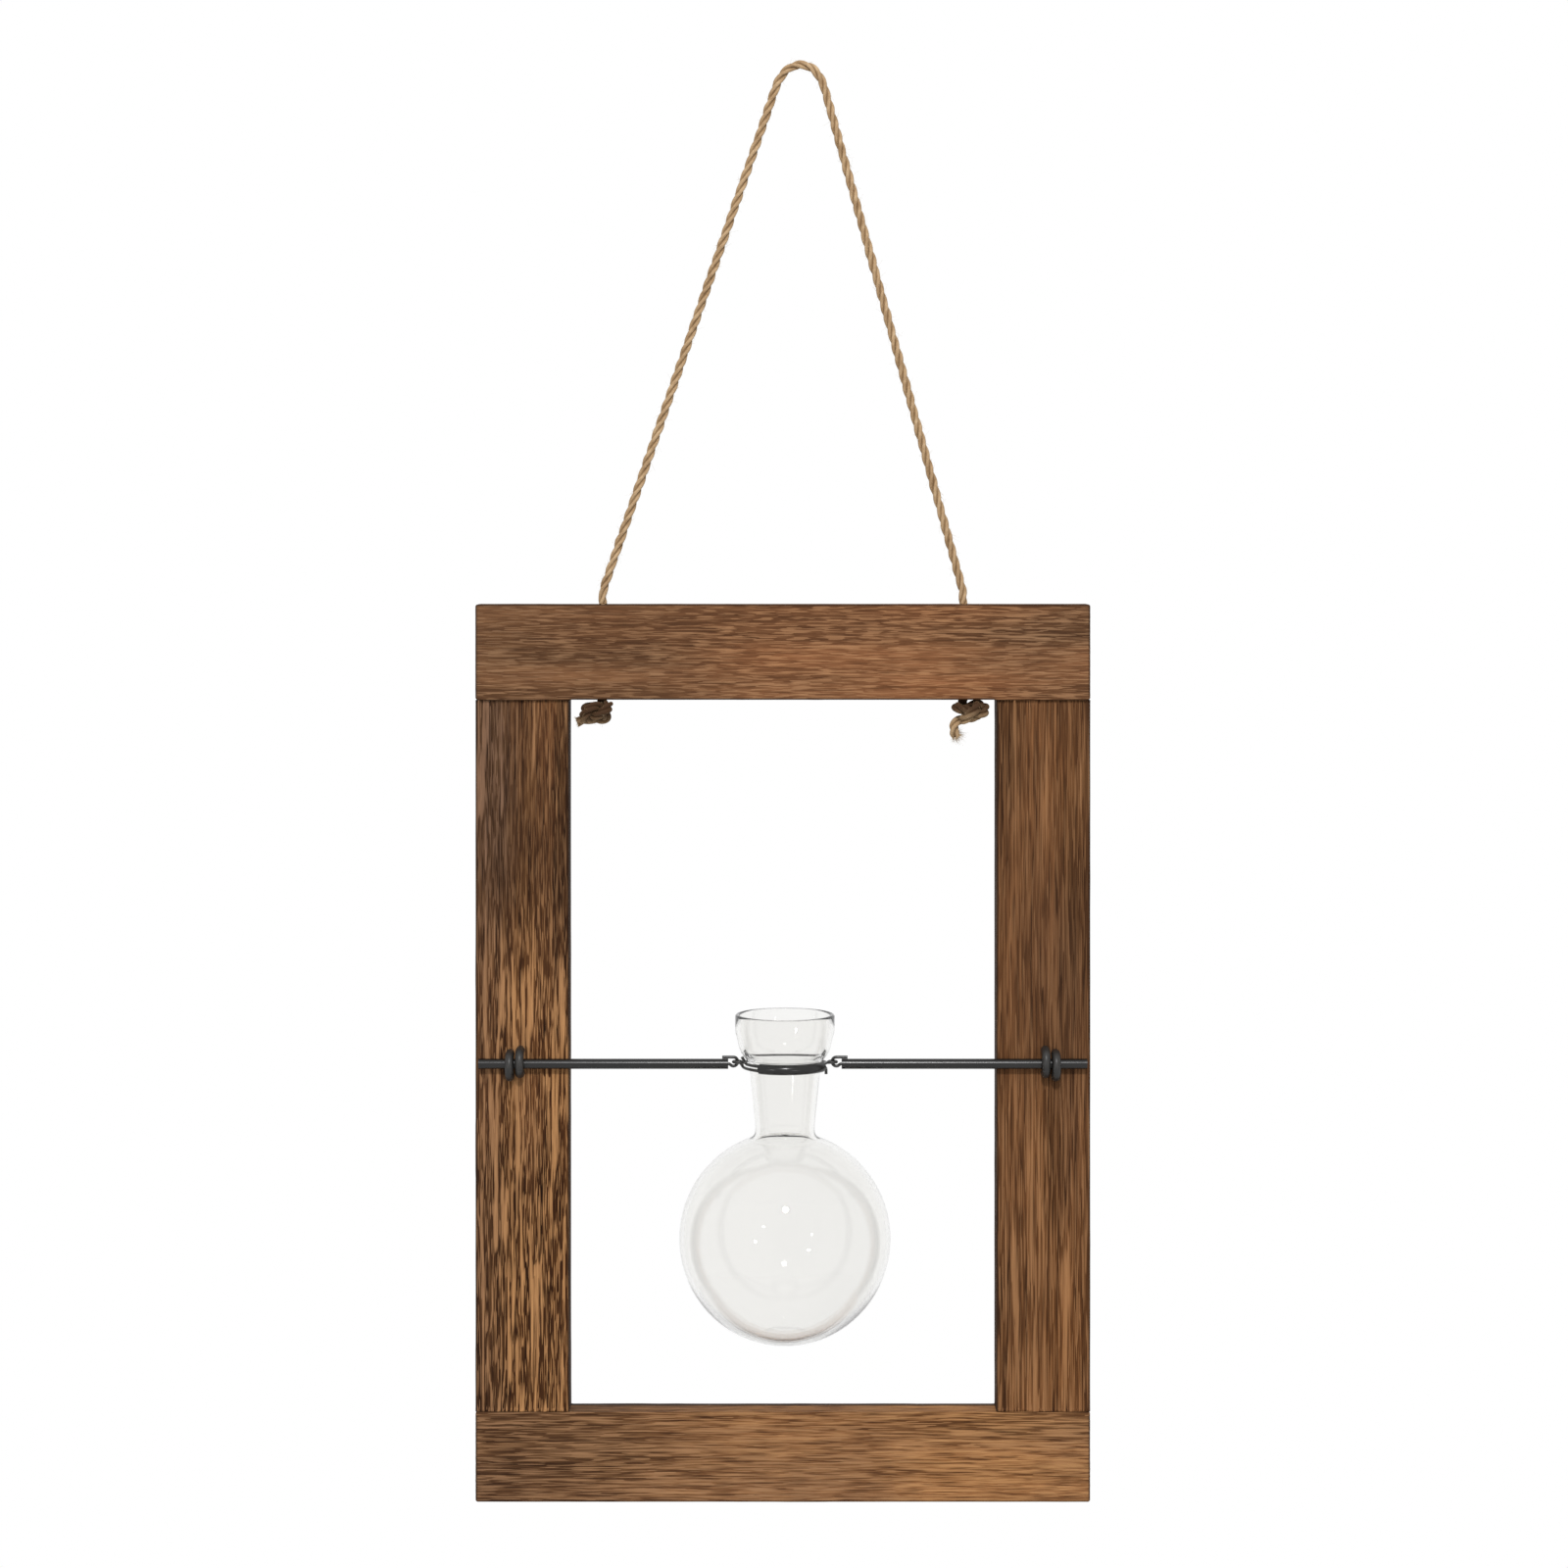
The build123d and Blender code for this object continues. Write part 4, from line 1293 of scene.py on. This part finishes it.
turn = np.linspace(0, 2 * math.pi, floor_sides, endpoint=False)
floor_height = cad_box[0][2] - floor_drop
rim = np.stack([floor_reach * np.cos(turn), floor_reach * np.sin(turn), floor_height + 0 * turn], axis=1)
floor = make_piece("floor", rim, [list(range(floor_sides))])
floor.data.materials.append(make_floor_finish())
floor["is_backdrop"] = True
print("floor at", round(floor_height, 3), "m")

# %% [markdown]
# One lamp stands above and in front, and a weak one at each side adds small highlights on the
# glass and the wires. Most of the light is the backdrop's own, bright above and dim below. To the
# eye, in gloss and through glass that backdrop is plain white.

# %% Lamps and backdrop
lamp_aim = (0, 0, -0.33)
sky_heights = (-0.5, 0.7)
sky_strengths = (0.18, 0.66)


def add_lamp(name, place, size, power):
    """A soft round lamp that shines from place towards the object."""
    lamp = bpy.data.objects.new(name, bpy.data.lights.new(name, "AREA"))
    bpy.context.scene.collection.objects.link(lamp)
    lamp.data.shape, lamp.data.size, lamp.data.energy = "DISK", size, power
    lamp.location = place
    way = np.array(lamp_aim) - np.array(place)
    lamp.rotation_euler = (math.atan2(math.hypot(way[0], way[1]), -way[2]), 0, math.atan2(-way[0], way[1]))


def make_backdrop():
    """White to the eye, in gloss and through glass. As a light it is bright above and dim below."""
    world = bpy.data.worlds.new("white backdrop")
    bpy.context.scene.world = world
    world.use_nodes = True
    wiring = Wiring(world.node_tree)
    path = wiring.add("ShaderNodeLightPath")
    seen = wiring.reckon("MAXIMUM", path["Is Camera Ray"], path["Is Glossy Ray"])
    seen = wiring.reckon("MAXIMUM", seen, path["Is Transmission Ray"])
    way = wiring.add("ShaderNodeTexCoord")["Generated"]
    height = wiring.add("ShaderNodeSeparateXYZ", {"Vector": way})["Z"]
    light = wiring.add("ShaderNodeMapRange", {
        "Value": height, "From Min": sky_heights[0], "From Max": sky_heights[1],
        "To Min": sky_strengths[0], "To Max": sky_strengths[1],
    })["Result"]
    strength = wiring.reckon("MAXIMUM", seen, light)
    wiring.join(wiring.nodes["Background"].inputs, {"Color": white, "Strength": strength})


add_lamp("key lamp", (0.02, -1.13, 0.58), 0.15, 11.0)
add_lamp("left lamp", (-0.75, -1.20, -0.25), 0.08, 1.6)
add_lamp("right lamp", (0.60, -1.30, -0.45), 0.08, 1.3)
make_backdrop()
bpy.context.scene.view_settings.view_transform = "Standard"

# %% [markdown]
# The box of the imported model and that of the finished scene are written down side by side, so that
# it shows at once if a piece has grown past the sizes that the joints and the mounts go by.

# %% Sizes, and the end
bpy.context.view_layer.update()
for title, box in (("packed", cad_box), ("shown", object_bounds())):
    print(title, "box in mm:", np.round(np.array(box) / mm, 2).tolist())
